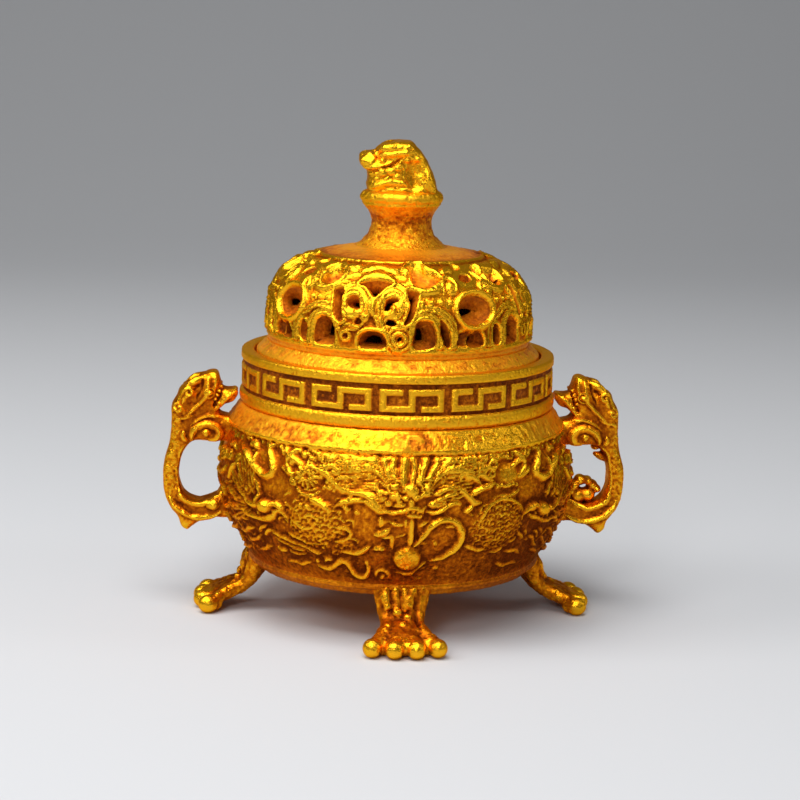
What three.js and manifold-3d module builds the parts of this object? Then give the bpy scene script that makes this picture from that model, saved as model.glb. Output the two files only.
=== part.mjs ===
// A small brass incense burner: a round bowl on four lion's-paw feet, two dragon handles, a collar
// with a band of fret, and a pierced lid whose knob is a crouching beast.
// Millimetres. z 0 is the table, +Z is up, the mask on the belly and one foot face -Y,
// and the handles are on -X and +X.
import * as THREE from "three";
import { mergeVertices } from "three/addons/utils/BufferGeometryUtils.js";
import Module from "manifold-3d";

const wasm = await Module();
wasm.setup();

// Driving sizes
const SIDES = 40; // facets round the bowl's inside and the lid
const BELLY_SIDES = 128; // facets round the bowl's outside, fine enough for its relief
const BELLY_ROWS = 17;
const FIT = 0.3; // clearance between pieces that are cut to each other
const DEG = Math.PI / 180;

const LEG_HEIGHT = 10.2; // table to the bowl's flat underside
const BOWL_HEIGHT = 34.6; // underside to the rim that carries the collar
const UNDERSIDE_R = 29.2;
const FOOT_RING_OUT = 1.8; // from the underside's edge out to the ring round it
const FOOT_RING_RISE = 2; // underside to the ring's top
const BELLY_R = 36.95;
const BELLY_RISE = 20; // underside to the widest part
const SHOULDER_R = 35.6;
const SHOULDER_DROP = 3.5; // rim down to the shoulder's edge
const SHOULDER_LIP = 0.7;
const WALL = 2.5;
const FLOOR = 3;

const COLLAR_R = 33;
const COLLAR_HEIGHT = 11.1;
const COLLAR_WALL = 2.7;
const BEAD_HEIGHT = 2.6; // the round moulding below the fret
const BEAD_PROUD = 0.3;
const BAND_DEPTH = 0.7; // the fret's ground, in from the lip
const LIP_HEIGHT = 1.9;
const LEDGE_DROP = 1.3; // lip down to the ledge the lid rests on
const LEDGE_WIDTH = 2.5;
const LEDGE_THICK = 2;
const SPIGOT_HEIGHT = 1.8; // the collar's skirt inside the bowl's rim
const SPIGOT_WALL = 1.1;

const KEYS = 14; // motifs in the fret
const KEY_WIDTH = 12.7;
const KEY_HEIGHT = 4.5;
const KEY_BAR = 1.2;
const KEY_TURN = 1 * DEG;
const KEY_PROUD = 0.5;

const FLANGE_THICK = 1.6;
const FLANGE_RISE = 3.4; // ledge to the plane the dome stands on
const LID_CLEARANCE = 0.5; // between the flange and the lip, and between the skirt and the ledge
const SKIRT_DROP = 2.4;
const SKIRT_WALL = 1.6;
const DOME_R = 27.5;
const DOME_HEIGHT = 19.9;
const DOME_WALL = 2; // without the openwork that stands out from it
const OPENWORK_PROUD = 0.35; // the pierced zone stands out from the dome's foot
const PIERCING_TAPER = 0.35; // share by which an opening narrows inwards
const DOME_TOP_R = 9.7;
const LID_TURN = -16 * DEG; // the lid stands a little turned in its seat

const PEDESTAL_HEIGHT = 11.8;
const PEDESTAL_WAIST_R = 6.25;
const PEDESTAL_BEAD_R = 8.6;
const BEAST_HEIGHT = 10.3;

const SCREW_R = 1.1;
const SCREW_HEAD_R = 2.1;
const SCREW_HEAD = 1.2;
const KNOB_SCREW_R = 1.5;
const KNOB_SCREW_HEAD_R = 3;
const WASHER_R = 4.2;
const WASHER_THICK = 0.8;
const PIN_R = 0.9; // handle screws
const PIN_HEAD_R = 1.7;
const PIN_HEAD = 0.9;
const PIN_REACH = 2.8; // how far a pin goes into its handle
const KNOB_SCREW_REACH = 4.4; // and the knob's screw into the beast

const LEG_SCREW_IN = 3.8; // from the underside's edge in to the screw
const TOE_R = 2.15;
const TOE_OUT = 10.6; // underside's edge out to the toes' centres
const TOE_PITCH = 4.4;
const PAW_HALF = 7.4;
const SHANK_TOP_HALF = 5.9;
const SHANK_WAIST_HALF = 4.95;

const HANDLE_DROP_LOW = 22.9; // rim down to a handle's lower screw
const HANDLE_DROP_HIGH = 6.1; // rim down to its upper screw
const HANDLE_THICK = 6.2; // across the handle's plane
const HANDLE_ROUND = [1.7, 0.55]; // its edges' rounding: across the plane and in it
const BEAST_THICK = 10.4;
const BEAST_ROUND = [2.6, 0.7];

const RELIEF = 0.9; // how far the dragons stand out from the belly
const RELIEF_GROUND = 0.2; // the level of the ground between them
const HANDLE_SEAT = 4.2; // half width of the plain strip that a handle stands on

// Sizes that follow
const FOOT_RING_R = UNDERSIDE_R + FOOT_RING_OUT;
const UNDERSIDE = LEG_HEIGHT;
const RIM = UNDERSIDE + BOWL_HEIGHT;
const LIP = RIM + COLLAR_HEIGHT;
const LEDGE = LIP - LEDGE_DROP;
const DOME_BASE = LEDGE + FLANGE_RISE;
const DOME_TOP = DOME_BASE + DOME_HEIGHT;
const BEAST_BASE = DOME_TOP + PEDESTAL_HEIGHT;
const MOUTH_R = COLLAR_R - COLLAR_WALL;
const LEDGE_R = MOUTH_R - LEDGE_WIDTH;

// Solids and geometries
function solid(geometry) {
  const loose = geometry.index ? geometry.toNonIndexed() : geometry.clone();
  loose.deleteAttribute("normal");
  loose.deleteAttribute("uv");
  const merged = mergeVertices(loose, 1e-3);
  const kept = [];
  const ids = merged.index.array;
  for (let i = 0; i < ids.length; i += 3) {
    const [a, b, c] = [ids[i], ids[i + 1], ids[i + 2]];
    if (a !== b && b !== c && c !== a) kept.push(a, b, c);
  }
  const make = (tris) => {
    const vertProperties = merged.attributes.position.array;
    const triVerts = new Uint32Array(tris);
    return new wasm.Manifold(new wasm.Mesh({ numProp: 3, vertProperties, triVerts }));
  };
  const made = make(kept);
  return made.volume() < 0 ? make(kept.reverse()) : made;
}

function add(...solids) {
  return solids.reduce((all, one) => all.add(one));
}

function cut(body, ...solids) {
  return solids.reduce((all, one) => all.subtract(one), body);
}

function geometryOf(made) {
  const mesh = made.getMesh();
  const points = new Float32Array(mesh.numVert * 3);
  for (let i = 0; i < mesh.numVert; i++) {
    points.set(mesh.vertProperties.subarray(i * mesh.numProp, i * mesh.numProp + 3), i * 3);
  }
  const geometry = new THREE.BufferGeometry();
  geometry.setAttribute("position", new THREE.BufferAttribute(points, 3));
  geometry.setIndex(new THREE.BufferAttribute(mesh.triVerts, 1));
  return geometry;
}

// A profile of [radius, z] pairs turned round the Z axis. It is closed here unless it starts there.
function turned(profile, sides = SIDES) {
  const points = profile.map(([r, z]) => new THREE.Vector2(r, z));
  if (points[0].x > 0) points.push(points[0].clone());
  return solid(new THREE.LatheGeometry(points, sides).rotateX(Math.PI / 2));
}

function rod(r, low, high, sides = 12) {
  return turned([[0, low], [r, low], [r, high], [0, high]], sides);
}

function ball(x, y, z, sx, sy = sx, sz = sx, sides = 8) {
  const shape = new THREE.SphereGeometry(1, sides, Math.round(sides * 0.7));
  return solid(shape.rotateX(Math.PI / 2).scale(sx, sy, sz).translate(x, y, z));
}

function box(x0, x1, y0, y1, z0, z1) {
  const shape = new THREE.BoxGeometry(x1 - x0, y1 - y0, z1 - z0);
  return solid(shape.translate((x0 + x1) / 2, (y0 + y1) / 2, (z0 + z1) / 2));
}

// A closed skin over rings of the same number of points, with a flat end at each end.
function skinned(rings) {
  const points = rings.flat();
  const n = rings[0].length;
  const faces = [];
  for (let i = 0; i + 1 < rings.length; i++) {
    for (let j = 0; j < n; j++) {
      const a = i * n + j;
      const b = i * n + ((j + 1) % n);
      faces.push(a, b, b + n, a, b + n, a + n);
    }
  }
  const last = (rings.length - 1) * n;
  for (let j = 1; j + 1 < n; j++) {
    faces.push(0, j + 1, j, last, last + j, last + j + 1);
  }
  const geometry = new THREE.BufferGeometry().setFromPoints(points);
  geometry.setIndex(faces);
  return solid(geometry);
}

// A limb in the XZ plane. Each station is [x, z, half size in the plane, half size across it].
function limb(stations, steps = 16, sides = 12) {
  const line = new THREE.CatmullRomCurve3(stations.map(([x, z]) => new THREE.Vector3(x, 0, z)));
  const sizes = new THREE.CatmullRomCurve3(
    stations.map(([, , a, b]) => new THREE.Vector3(a, b, 0)),
  );
  const rings = [];
  for (let i = 0; i <= steps; i++) {
    const at = line.getPoint(i / steps);
    const along = line.getTangent(i / steps);
    const side = new THREE.Vector3(along.z, 0, -along.x);
    const size = sizes.getPoint(i / steps);
    const ring = [];
    for (let j = 0; j < sides; j++) {
      const turn = (2 * Math.PI * j) / sides;
      const p = at.clone().addScaledVector(side, size.x * Math.cos(turn));
      ring.push(p.add(new THREE.Vector3(0, size.y * Math.sin(turn), 0)));
    }
    rings.push(ring);
  }
  return skinned(rings);
}

function turn(made, angle) {
  return made.rotate([0, 0, angle / DEG]);
}

// The bowl's outside, from the underside's edge to the rim, as [radius, z] pairs
function bowlOutside(grow = 0) {
  const ring = UNDERSIDE + FOOT_RING_RISE;
  const widest = UNDERSIDE + BELLY_RISE;
  const edge = RIM - SHOULDER_DROP;
  const lower = edge - SHOULDER_LIP - 0.4;
  const start = FOOT_RING_R - 0.2;
  const points = [[UNDERSIDE_R, UNDERSIDE], [UNDERSIDE_R + 1.1, UNDERSIDE + 1.3]];
  points.push([FOOT_RING_R, ring - 0.3], [FOOT_RING_R, ring]);
  const lowRows = Math.round(BELLY_ROWS * 0.62);
  for (let i = 1; i <= lowRows; i++) {
    const t = i / lowRows;
    const r = start + (BELLY_R - start) * Math.sin((t * Math.PI) / 2);
    points.push([r, ring + 0.1 + (widest - ring - 0.1) * t]);
  }
  const waist = SHOULDER_R - SHOULDER_LIP;
  const highRows = BELLY_ROWS - lowRows;
  for (let i = 1; i <= highRows; i++) {
    const t = i / highRows;
    const r = waist + (BELLY_R - waist) * Math.cos((t * Math.PI) / 2);
    points.push([r, widest + (lower - widest) * t]);
  }
  points.push([SHOULDER_R, edge - SHOULDER_LIP], [SHOULDER_R, edge], [COLLAR_R, RIM]);
  return points.map(([r, z]) => [r + grow, z]);
}

// The bowl's inside at a height: the outside less the wall
function bowlRadius(z) {
  const outside = bowlOutside();
  const next = outside.findIndex((p) => p[1] > z);
  if (next <= 0) return outside[next === 0 ? 0 : outside.length - 1][0];
  const [r0, z0] = outside[next - 1];
  const [r1, z1] = outside[next];
  return r0 + ((r1 - r0) * (z - z0)) / (z1 - z0);
}

const HANDLE_LOW_Z = RIM - HANDLE_DROP_LOW;
const HANDLE_HIGH_Z = RIM - HANDLE_DROP_HIGH;
const seatOf = (z) => bowlRadius(z) - WALL + 0.9; // flat seat for a screw's head in the wall

function bowl() {
  const inside = [];
  const floor = UNDERSIDE + FLOOR;
  const top = RIM - SPIGOT_HEIGHT - 1;
  const steps = 6;
  for (let i = 0; i <= steps; i++) {
    const z = floor + ((top - floor) * i) / steps;
    inside.push([Math.min(bowlRadius(z) - WALL, z > RIM - 9 ? MOUTH_R + 2.4 : 99), z]);
  }
  inside[steps][0] = MOUTH_R;
  const rings = bowlOutside().map(([r, z]) => {
    const ring = [];
    for (let j = 0; j < BELLY_SIDES; j++) {
      const angle = (j * 2 * Math.PI) / BELLY_SIDES;
      const out = r + relief(angle, z);
      ring.push(new THREE.Vector3(out * Math.sin(angle), -out * Math.cos(angle), z));
    }
    return ring;
  });
  const hollow = turned([[0, floor], ...inside, [MOUTH_R, RIM + 1], [0, RIM + 1]]);
  let body = cut(skinned(rings), hollow);
  for (let k = 0; k < 4; k++) {
    body = cut(body, turn(legHole(UNDERSIDE - 1, floor + 1), k * 90 * DEG));
  }
  for (const sign of [-1, 1]) {
    for (const z of [HANDLE_LOW_Z, HANDLE_HIGH_Z]) {
      const seat = seatOf(z);
      body = cut(body, across(PIN_R + FIT, seat - 5, bowlRadius(z) + 2, z, sign));
      body = cut(body, across(PIN_HEAD_R + FIT, seat - 6, seat, z, sign));
    }
  }
  return body;
}

// The relief in its main forms, in mm on the unrolled belly. A swelling is [along from the front,
// up from the table, half width, half height, share of the relief]; a rope is [width, share, then
// the points it runs through]. Those of SIDE stand on both sides of the face's midline.
const MIDLINE = 0.3;
const MIDDLE_SWELLINGS = [
  [0.2, 32.4, 6.8, 5, 0.9], // mask
  [0.4, 38, 7, 4.4, 1.1], // flames over it
  [0.3, 19.4, 3.9, 3.6, 1.9], // pearl
];
const SIDE_SWELLINGS = [
  [20, 25.6, 7.6, 6.6, 0.95], // cloud
  [13.4, 38, 9.4, 3.8, 1.1], // mane
  [22.5, 35.6, 3.6, 2.8, 0.7],
  [8, 31.5, 5, 4.4, 0.45],
  [32, 26.8, 6, 3.6, 0.6], // the side dragon's head
  [31.8, 27.7, 2.7, 2, 1.4], // its nose
  [41, 25, 10, 8.5, 0.75], // its body
  [38, 36.6, 6, 2.6, 0.35],
  [26.6, 37.6, 3, 3.2, 0.35],
  [51.5, 31, 6, 6, 0.5],
  [51, 22, 6, 4.5, 0.45],
];
const MIDDLE_ROPES = [
  [2.2, 0.6, [0.6, 22.2], [0.6, 29]],
  [2.2, 1, [1.6, 22.2], [5.4, 26.6], [9, 27.5], [11.3, 24.7], [8.5, 19.8], [5.4, 18.6]],
  [2.4, 1, [-20.4, 37.4], [-15.6, 35], [-12, 32.7], [-7.4, 31.8], [-4, 29]],
  [2.2, 0.9, [-20.4, 16.2], [-17, 16.1], [-14.2, 17.9], [-11.4, 15.1], [-8.4, 16]],
  [2.2, 0.9, [-13.8, 20], [-10, 20], [-7.6, 21.5]],
  [2.2, 0.7, [-31.4, 22.2], [-23.2, 20.5], [-18.4, 19.2]],
  [2.4, 1.1, [10, 34.2], [12.5, 31.9], [15, 30.3]],
  [2.4, 1, [12.6, 32.4], [16.2, 33.7], [18.8, 34.2]],
  [2.2, 0.7, [12.4, 21.6], [17.4, 20.6], [25.8, 22.1]],
];
const SIDE_ROPES = [
  [2.4, 0.9, [4.3, 34.2], [8, 37.2], [12, 37.2], [19, 37.4]],
  [2.2, 0.9, [3.8, 29.3], [6.6, 29.8], [9.8, 31.5]],
  [2.2, 1, [24.2, 40.4], [26.6, 38.2], [26.4, 36.2], [24.6, 35.2]], // claw
  [2.2, 0.9, [26.8, 37.6], [28.6, 39.2], [30.4, 40.3]],
  [2.8, 1.2, [33.2, 40.6], [30.6, 35.4], [33, 33.7], [37.8, 35.8], [43, 38.2]], // ribbon
  [2.4, 1.1, [43.6, 34], [46.2, 31.2]],
  [2.2, 1, [26.8, 27.7], [30.6, 28.4], [35.4, 27.2], [38.4, 29.3]], // upper jaw
  [2.2, 1, [28.4, 26.6], [34, 24.7], [40, 26.2]], // lower jaw
  [2.2, 0.7, [47.2, 25.4], [51, 23.8], [54, 25]],
  [2.2, 0.7, [46.4, 20.6], [51.4, 19.2], [54, 18.2]],
  [2.2, 0.8, [48.6, 32.4], [51.6, 30.8], [54, 31.4]],
];

// The distance from a place to a line of points
function apart(place, line) {
  let least = Infinity;
  for (let i = 0; i + 1 < line.length; i++) {
    const run = line[i + 1].clone().sub(line[i]);
    const off = place.clone().sub(line[i]);
    const t = THREE.MathUtils.clamp(off.dot(run) / run.lengthSq(), 0, 1);
    least = Math.min(least, off.distanceTo(run.multiplyScalar(t)));
  }
  return least;
}

// Everything in the relief as it stands on the belly, on one side or both
const swellings = [...MIDDLE_SWELLINGS, ...SIDE_SWELLINGS];
swellings.push(...SIDE_SWELLINGS.map(([along, ...rest]) => [2 * MIDLINE - along, ...rest]));
const ropes = [1, -1].flatMap((sign) =>
  [...(sign > 0 ? MIDDLE_ROPES : []), ...SIDE_ROPES].map(([width, share, ...points]) => {
    const at = points.map(([x, z]) => new THREE.Vector2(MIDLINE + sign * (x - MIDLINE), z));
    return { width, share, line: new THREE.SplineCurve(at).getPoints(4 * points.length) };
  }),
);

// How far the relief stands out at an angle from the front. The back repeats the front.
function relief(angle, z) {
  const fade = THREE.MathUtils.smoothstep;
  const [low, high] = [UNDERSIDE + FOOT_RING_RISE, RIM - SHOULDER_DROP - SHOULDER_LIP];
  const quarter = Math.PI / 2;
  const along = (THREE.MathUtils.euclideanModulo(angle + quarter, Math.PI) - quarter) * BELLY_R;
  const free = quarter * BELLY_R - Math.abs(along) - HANDLE_SEAT;
  const shown = fade(z, low + 0.6, low + 2.2) * (1 - fade(z, high - 0.8, high)) * fade(free, 0, 2.4);
  if (shown === 0) return 0;
  const place = new THREE.Vector2(along, z);
  let rise = RELIEF_GROUND;
  for (const [x, up, wide, tall, share] of swellings) {
    const r = Math.hypot((along - x) / wide, (z - up) / tall);
    rise += RELIEF * 0.85 * share * (1 - fade(r, 0.3, 1));
  }
  let line = 0;
  for (const rope of ropes) {
    const off = apart(place, rope.line) / rope.width;
    line = Math.max(line, RELIEF * 0.75 * rope.share * (1 - fade(off, 0.1, 0.75)));
  }
  return shown * (rise + line);
}

function legHole(low, high) {
  return rod(SCREW_R + FIT, low, high, 8).translate([UNDERSIDE_R - LEG_SCREW_IN, 0, 0]);
}

// A rod along X from one radius to another, on the side given by sign
function across(r, from, to, z, sign) {
  const made = rod(r, from, to, 8).rotate([0, 90, 0]);
  return (sign > 0 ? made : made.rotate([0, 0, 180])).translate([0, 0, z]);
}

function screw(headR, headThick, shankR, length) {
  // The head's seat is at z 0 and the shank points up; the drive is a slot across the head
  const slot = box(-headR - 1, headR + 1, -0.3, 0.3, -headThick - 1, -headThick * 0.5);
  return cut(add(rod(headR, -headThick, 0, 12), rod(shankR, -0.1, length, 8)), slot);
}

// One motif of the fret: a bar bent back on itself at both ends, drawn flat and bent to the band
function key() {
  const w = (KEY_WIDTH - KEY_BAR) / 2;
  const h = (KEY_HEIGHT - KEY_BAR) / 2;
  const arm = w * 0.42;
  const path = [[-arm, h], [-w, h], [-w, -h], [0, -h], [0, h], [w, h], [w, -h], [arm, -h]];
  const outline = new THREE.Shape([...banked(path, 1), ...banked(path, -1).reverse()]);
  const shape = new THREE.ExtrudeGeometry(outline, { depth: 1, bevelEnabled: false });
  const ground = COLLAR_R - BAND_DEPTH;
  const p = shape.attributes.position;
  for (let i = 0; i < p.count; i++) {
    const r = ground + (p.getZ(i) > 0.5 ? KEY_PROUD : -0.4);
    const a = p.getX(i) / ground;
    p.setXYZ(i, r * Math.sin(a), -r * Math.cos(a), p.getY(i));
  }
  return solid(shape);
}

// One edge of a bar that follows a path of right-angled turns, on its left (1) or right (-1)
function banked(path, side) {
  const normal = (i) => {
    const [[x0, y0], [x1, y1]] = [path[i], path[i + 1]];
    const length = Math.hypot(x1 - x0, y1 - y0);
    return [(y0 - y1) / length, (x1 - x0) / length];
  };
  return path.map(([x, y], i) => {
    const before = i > 0 ? normal(i - 1) : [0, 0];
    const after = i + 1 < path.length ? normal(i) : [0, 0];
    const out = (side * KEY_BAR) / 2;
    return new THREE.Vector2(x + out * (before[0] + after[0]), y + out * (before[1] + after[1]));
  });
}

function collar() {
  const bandLow = RIM + 0.4 + BEAD_HEIGHT;
  const bandHigh = LIP - LIP_HEIGHT;
  const beadR = COLLAR_R + BEAD_PROUD;
  const profile = [
    [COLLAR_R - 0.4, RIM],
    [beadR - 0.3, RIM + 0.5],
    [beadR, RIM + 1],
    [beadR, bandLow - 0.6],
    [beadR - 0.3, bandLow - 0.1],
    [COLLAR_R - BAND_DEPTH, bandLow],
    [COLLAR_R - BAND_DEPTH, bandHigh],
    [COLLAR_R, bandHigh + 0.2],
    [COLLAR_R, LIP - 0.4],
    [COLLAR_R - 0.4, LIP],
    [MOUTH_R + 0.3, LIP],
    [MOUTH_R, LIP - 0.3],
    [MOUTH_R, LEDGE],
    [LEDGE_R, LEDGE],
    [LEDGE_R, LEDGE - LEDGE_THICK],
    [MOUTH_R - FIT - SPIGOT_WALL, LEDGE - LEDGE_THICK - 1.4],
    [MOUTH_R - FIT - SPIGOT_WALL, RIM - SPIGOT_HEIGHT],
    [MOUTH_R - FIT, RIM - SPIGOT_HEIGHT],
    [MOUTH_R - FIT, RIM],
  ];
  let body = turned(profile, 3 * KEYS);
  const middle = (bandLow + bandHigh) / 2 - 0.15;
  for (let i = 0; i < KEYS; i++) {
    body = add(body, turn(key().translate([0, 0, middle]), KEY_TURN + (i * 2 * Math.PI) / KEYS));
  }
  return body;
}

// A paw on a short shank, made on +X and turned to its place
function leg() {
  const toes = UNDERSIDE_R + TOE_OUT;
  const low = TOE_R * 0.95;
  const knee = LEG_HEIGHT * 0.45;
  const half = SHANK_TOP_HALF;
  let body = limb(
    [
      [UNDERSIDE_R - 1.6, LEG_HEIGHT + 2.4, 4.6, half + 0.4],
      [UNDERSIDE_R - 1.2, LEG_HEIGHT - 0.4, 4.2, half],
      [UNDERSIDE_R + 0.8, LEG_HEIGHT - 3.2, 3.4, SHANK_WAIST_HALF],
      [UNDERSIDE_R + 3.4, knee, 3.0, SHANK_WAIST_HALF + 0.2],
      [UNDERSIDE_R + 6.6, low + 0.8, 3.1, PAW_HALF - 1.1],
      [toes - 1.6, low, 3, PAW_HALF],
      [toes + 0.4, low, 2, PAW_HALF - 0.4],
    ],
    7,
    10,
  );
  for (const place of [-1.5, -0.5, 0.5, 1.5]) {
    const y = place * TOE_PITCH;
    const reach = toes + (Math.abs(place) < 1 ? 0.4 : -0.5);
    const ridge = new THREE.CatmullRomCurve3([
      new THREE.Vector3(reach - 0.6, y * 0.97, TOE_R + 0.6),
      new THREE.Vector3(UNDERSIDE_R + 7.4, y * 0.8, low + 2.6),
      new THREE.Vector3(UNDERSIDE_R + 3.4, y * 0.62, knee + 2.2),
      new THREE.Vector3(UNDERSIDE_R + 2.2, y * 0.72, LEG_HEIGHT + 1),
    ]);
    const toe = ball(reach, y, TOE_R - 0.2, TOE_R * 1.05, TOE_R, TOE_R, 7);
    body = add(body, toe, tube(ridge, [1.5, 1.1, 1.0, 1.1], 3, 4));
  }
  const far = toes + 10;
  return cut(
    body,
    box(0, far, -20, 20, -9, 0),
    box(0, far, -20, 20, LEG_HEIGHT, LEG_HEIGHT + 12),
    legHole(LEG_HEIGHT - 3.4, LEG_HEIGHT + 5),
  );
}

// A round tube along a curve whose radius runs through the given values
function tube(curve, radii, steps = 12, sides = 8) {
  const rings = [];
  const frames = curve.computeFrenetFrames(steps, false);
  const sizes = new THREE.CatmullRomCurve3(radii.map((r) => new THREE.Vector3(r, 0, 0)));
  for (let i = 0; i <= steps; i++) {
    const at = curve.getPointAt(i / steps);
    const r = sizes.getPoint(i / steps).x;
    const ring = [];
    for (let j = 0; j < sides; j++) {
      const a = (2 * Math.PI * j) / sides;
      const p = at.clone().addScaledVector(frames.normals[i], r * Math.cos(a));
      ring.push(p.addScaledVector(frames.binormals[i], r * Math.sin(a)));
    }
    rings.push(ring);
  }
  return skinned(rings);
}

// A plate cut to a smooth closed outline in the XZ plane, with rounded edges, centred on Y
function plate(outline, points, thick, [deep, inward]) {
  const corners = outline.map(([x, z]) => new THREE.Vector3(x, z, 0));
  const edge = new THREE.CatmullRomCurve3(corners, true, "centripetal").getPoints(points);
  const shape = new THREE.Shape(edge.slice(0, -1).map((p) => new THREE.Vector2(p.x, p.y)));
  const geometry = new THREE.ExtrudeGeometry(shape, {
    depth: thick - 2 * deep,
    bevelThickness: deep,
    bevelSize: inward,
    bevelOffset: -inward,
    bevelSegments: 2,
  });
  return solid(geometry.translate(0, 0, deep - thick / 2).rotateX(Math.PI / 2));
}

// A dragon's outline: [out from the belly's widest radius, up from the rim], from the tail's root
// round its spur, up its back, over the snout and the open jaw, and back down inside the loop
const DRAGON = [
  [-3, -24.7], [1.2, -25.2], [4.2, -26], [5.9, -27.1], [7, -27.9], [8.3, -27], [8.9, -25.2],
  [10.6, -23], [11.8, -20.2], [12.2, -16.6], [12, -13.3], [11, -9.6], [10.6, -6.4],
  [10.5, -3.5], [9.8, -1], [8, 1.9], [6.4, 3.2], [5.2, 3.2], [4.3, 4.7], [2.6, 6.1], [1, 6],
  [0.3, 4.1], [-0.4, 2.7], [-1.8, 2.5], [-3, 2.6], [-3.4, 1.5], [-2.4, 0.1], [-0.6, -0.8],
  [0.6, -1.9], [-0.1, -2.8], [-1.8, -3.2], [-4.4, -3.8], [-4.4, -8.4], [0, -8.6],
  [4.5, -8.5], [6.6, -9.2], [8.2, -11.6], [8.8, -14.8], [8.7, -17.3], [7.6, -19.8],
  [5.6, -21.1], [3, -21.4], [1, -20.4], [-0.1, -19], [-3, -19.2],
];

// A handle made on +X, with or without the curled tuft inside its loop
function handle(tuft) {
  const outline = DRAGON.map(([x, z]) => [BELLY_R + x, RIM + z]);
  const half = HANDLE_THICK / 2;
  const lump = (x, z, rx, rz, proud = 0.5, sides = 7) =>
    ball(BELLY_R + x, 0, RIM + z, rx, half + proud, rz, sides);
  let body = add(
    plate(outline, 62, HANDLE_THICK, HANDLE_ROUND),
    lump(7, 1.4, 2, 1.6), // mane
    lump(8.6, -1.4, 1.6, 1.6),
    lump(3.4, 1.6, 1.7, 2.2, 0.6), // cheek and brow
    lump(2.2, -6.5, 2.1, 1.9, 0.6), // scroll of the bracket
  );
  if (tuft) {
    body = add(body, lump(3.6, -19, 2.7, 3, -0.8), lump(7.2, -11.6, 1.4, 1.1, -1));
  }
  body = cut(body, clearOf());
  for (const z of [HANDLE_LOW_Z, HANDLE_HIGH_Z]) {
    body = cut(body, across(PIN_R + FIT, 0, bowlRadius(z) + PIN_REACH + 0.7, z, 1));
  }
  return body;
}

// What the handles are cut clear of: the bowl and collar, grown by the clearance
function clearOf() {
  const collarR = COLLAR_R + BEAD_PROUD + FIT;
  const profile = [[0, UNDERSIDE - 2], ...bowlOutside(FIT).slice(0, -1)];
  profile.push([collarR, RIM - 0.4], [collarR, LIP + 9], [0, LIP + 9]);
  return turned(profile, BELLY_SIDES / 2);
}

function flange() {
  const r = MOUTH_R - LID_CLEARANCE;
  const skirt = LEDGE_R - LID_CLEARANCE;
  return turned([
    [skirt - SKIRT_WALL, LEDGE - SKIRT_DROP],
    [skirt, LEDGE - SKIRT_DROP],
    [skirt, LEDGE],
    [r, LEDGE],
    [r, LEDGE + FLANGE_THICK - 0.3],
    [r - 0.3, LEDGE + FLANGE_THICK],
    [DOME_R + 0.7, DOME_BASE - 0.7],
    [DOME_R, DOME_BASE],
    [DOME_R - DOME_WALL - 0.4, DOME_BASE],
    [skirt - SKIRT_WALL, DOME_BASE - 1.4],
  ]);
}

// The dome's plain outside as [radius, z] pairs, from its base up
function domeRun() {
  const run = new THREE.SplineCurve(
    [
      [DOME_R, DOME_BASE],
      [DOME_R - 0.1, DOME_BASE + 4],
      [DOME_R - 0.4, DOME_BASE + 8.3],
      [DOME_R - 1.6, DOME_BASE + 12.1],
      [DOME_R - 4.5, DOME_TOP - 4.5],
      [DOME_R - 10.2, DOME_TOP - 1.8],
      [DOME_TOP_R, DOME_TOP],
    ].map(([r, z]) => new THREE.Vector2(r, z)),
  );
  return run.getPoints(7).map((p) => [p.x, p.y]);
}

// The same with the openwork standing out between the foot and the crown
function domeOutside() {
  const steps = domeRun().slice(1, -1);
  const foot = [[DOME_R, DOME_BASE], [DOME_R, DOME_BASE + 1.1]];
  return [...foot, ...steps.map(([r, z]) => [r + OPENWORK_PROUD, z]), [DOME_TOP_R, DOME_TOP]];
}

function dome() {
  const outside = domeOutside();
  const run = domeRun();
  const inside = run.map(([r, z], i) => {
    const [r0, z0] = run[Math.max(0, i - 1)];
    const [r1, z1] = run[Math.min(run.length - 1, i + 1)];
    const length = Math.hypot(r1 - r0, z1 - z0);
    const level = i === 0 ? 0 : (r1 - r0) / length;
    return [r - (DOME_WALL * (z1 - z0)) / length, z + DOME_WALL * level];
  });
  inside[inside.length - 1] = [DOME_TOP_R - 0.8, DOME_TOP - DOME_WALL];
  const profile = [...outside, [0, DOME_TOP], [0, DOME_TOP - DOME_WALL], ...inside.reverse()];
  let body = turned(profile);
  body = cut(body, rod(KNOB_SCREW_R + FIT, DOME_TOP - DOME_WALL - 1, DOME_TOP + 1));
  for (let k = 0; k < 4; k++) {
    for (const [along, up, w, h, lean] of PIERCINGS) {
      const angle = k * 90 * DEG + along / DOME_R;
      body = cut(body, turn(piercing(up, w, h, lean, outside), angle));
    }
  }
  return turn(body, LID_TURN);
}

// Openings in a quarter of the lid, in mm: along the wall from the quarter's middle, above the
// dome's base, width, height, and lean in degrees
const PIERCINGS = [
  [21.4, 9.8, 8, 5.4, 0], // great round opening between two quarters
  [-4.3, 11.3, 2.6, 2.4, 0], // eyes of the two scrolls
  [3.7, 11.3, 2.6, 2.4, 0],
  [0, 14.5, 6.4, 1.9, 0], // the lens between them
  [0.1, 3.9, 4.8, 3.2, 0], // half-round mouth below
  [-8.3, 10.6, 1.7, 4.8, -14],
  [8.5, 10.6, 1.7, 4.8, 14],
  [10.8, 16.1, 7.4, 2.6, -4], // leaves
  [-11.4, 15.6, 4.6, 2.4, 4],
  [-10.6, 4.9, 3.2, 5, 0], // arches along the foot
  [10, 4.7, 3.4, 4.4, 0],
  [14.6, 5, 2.2, 5, 14],
  [-15.9, 4.3, 2.2, 3.8, 0],
  [-19.6, 4.2, 2, 3.4, 0],
  [18.6, 3.9, 2.6, 3, 0],
  [22.5, 15.7, 3.6, 1.7, 0],
];

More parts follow.
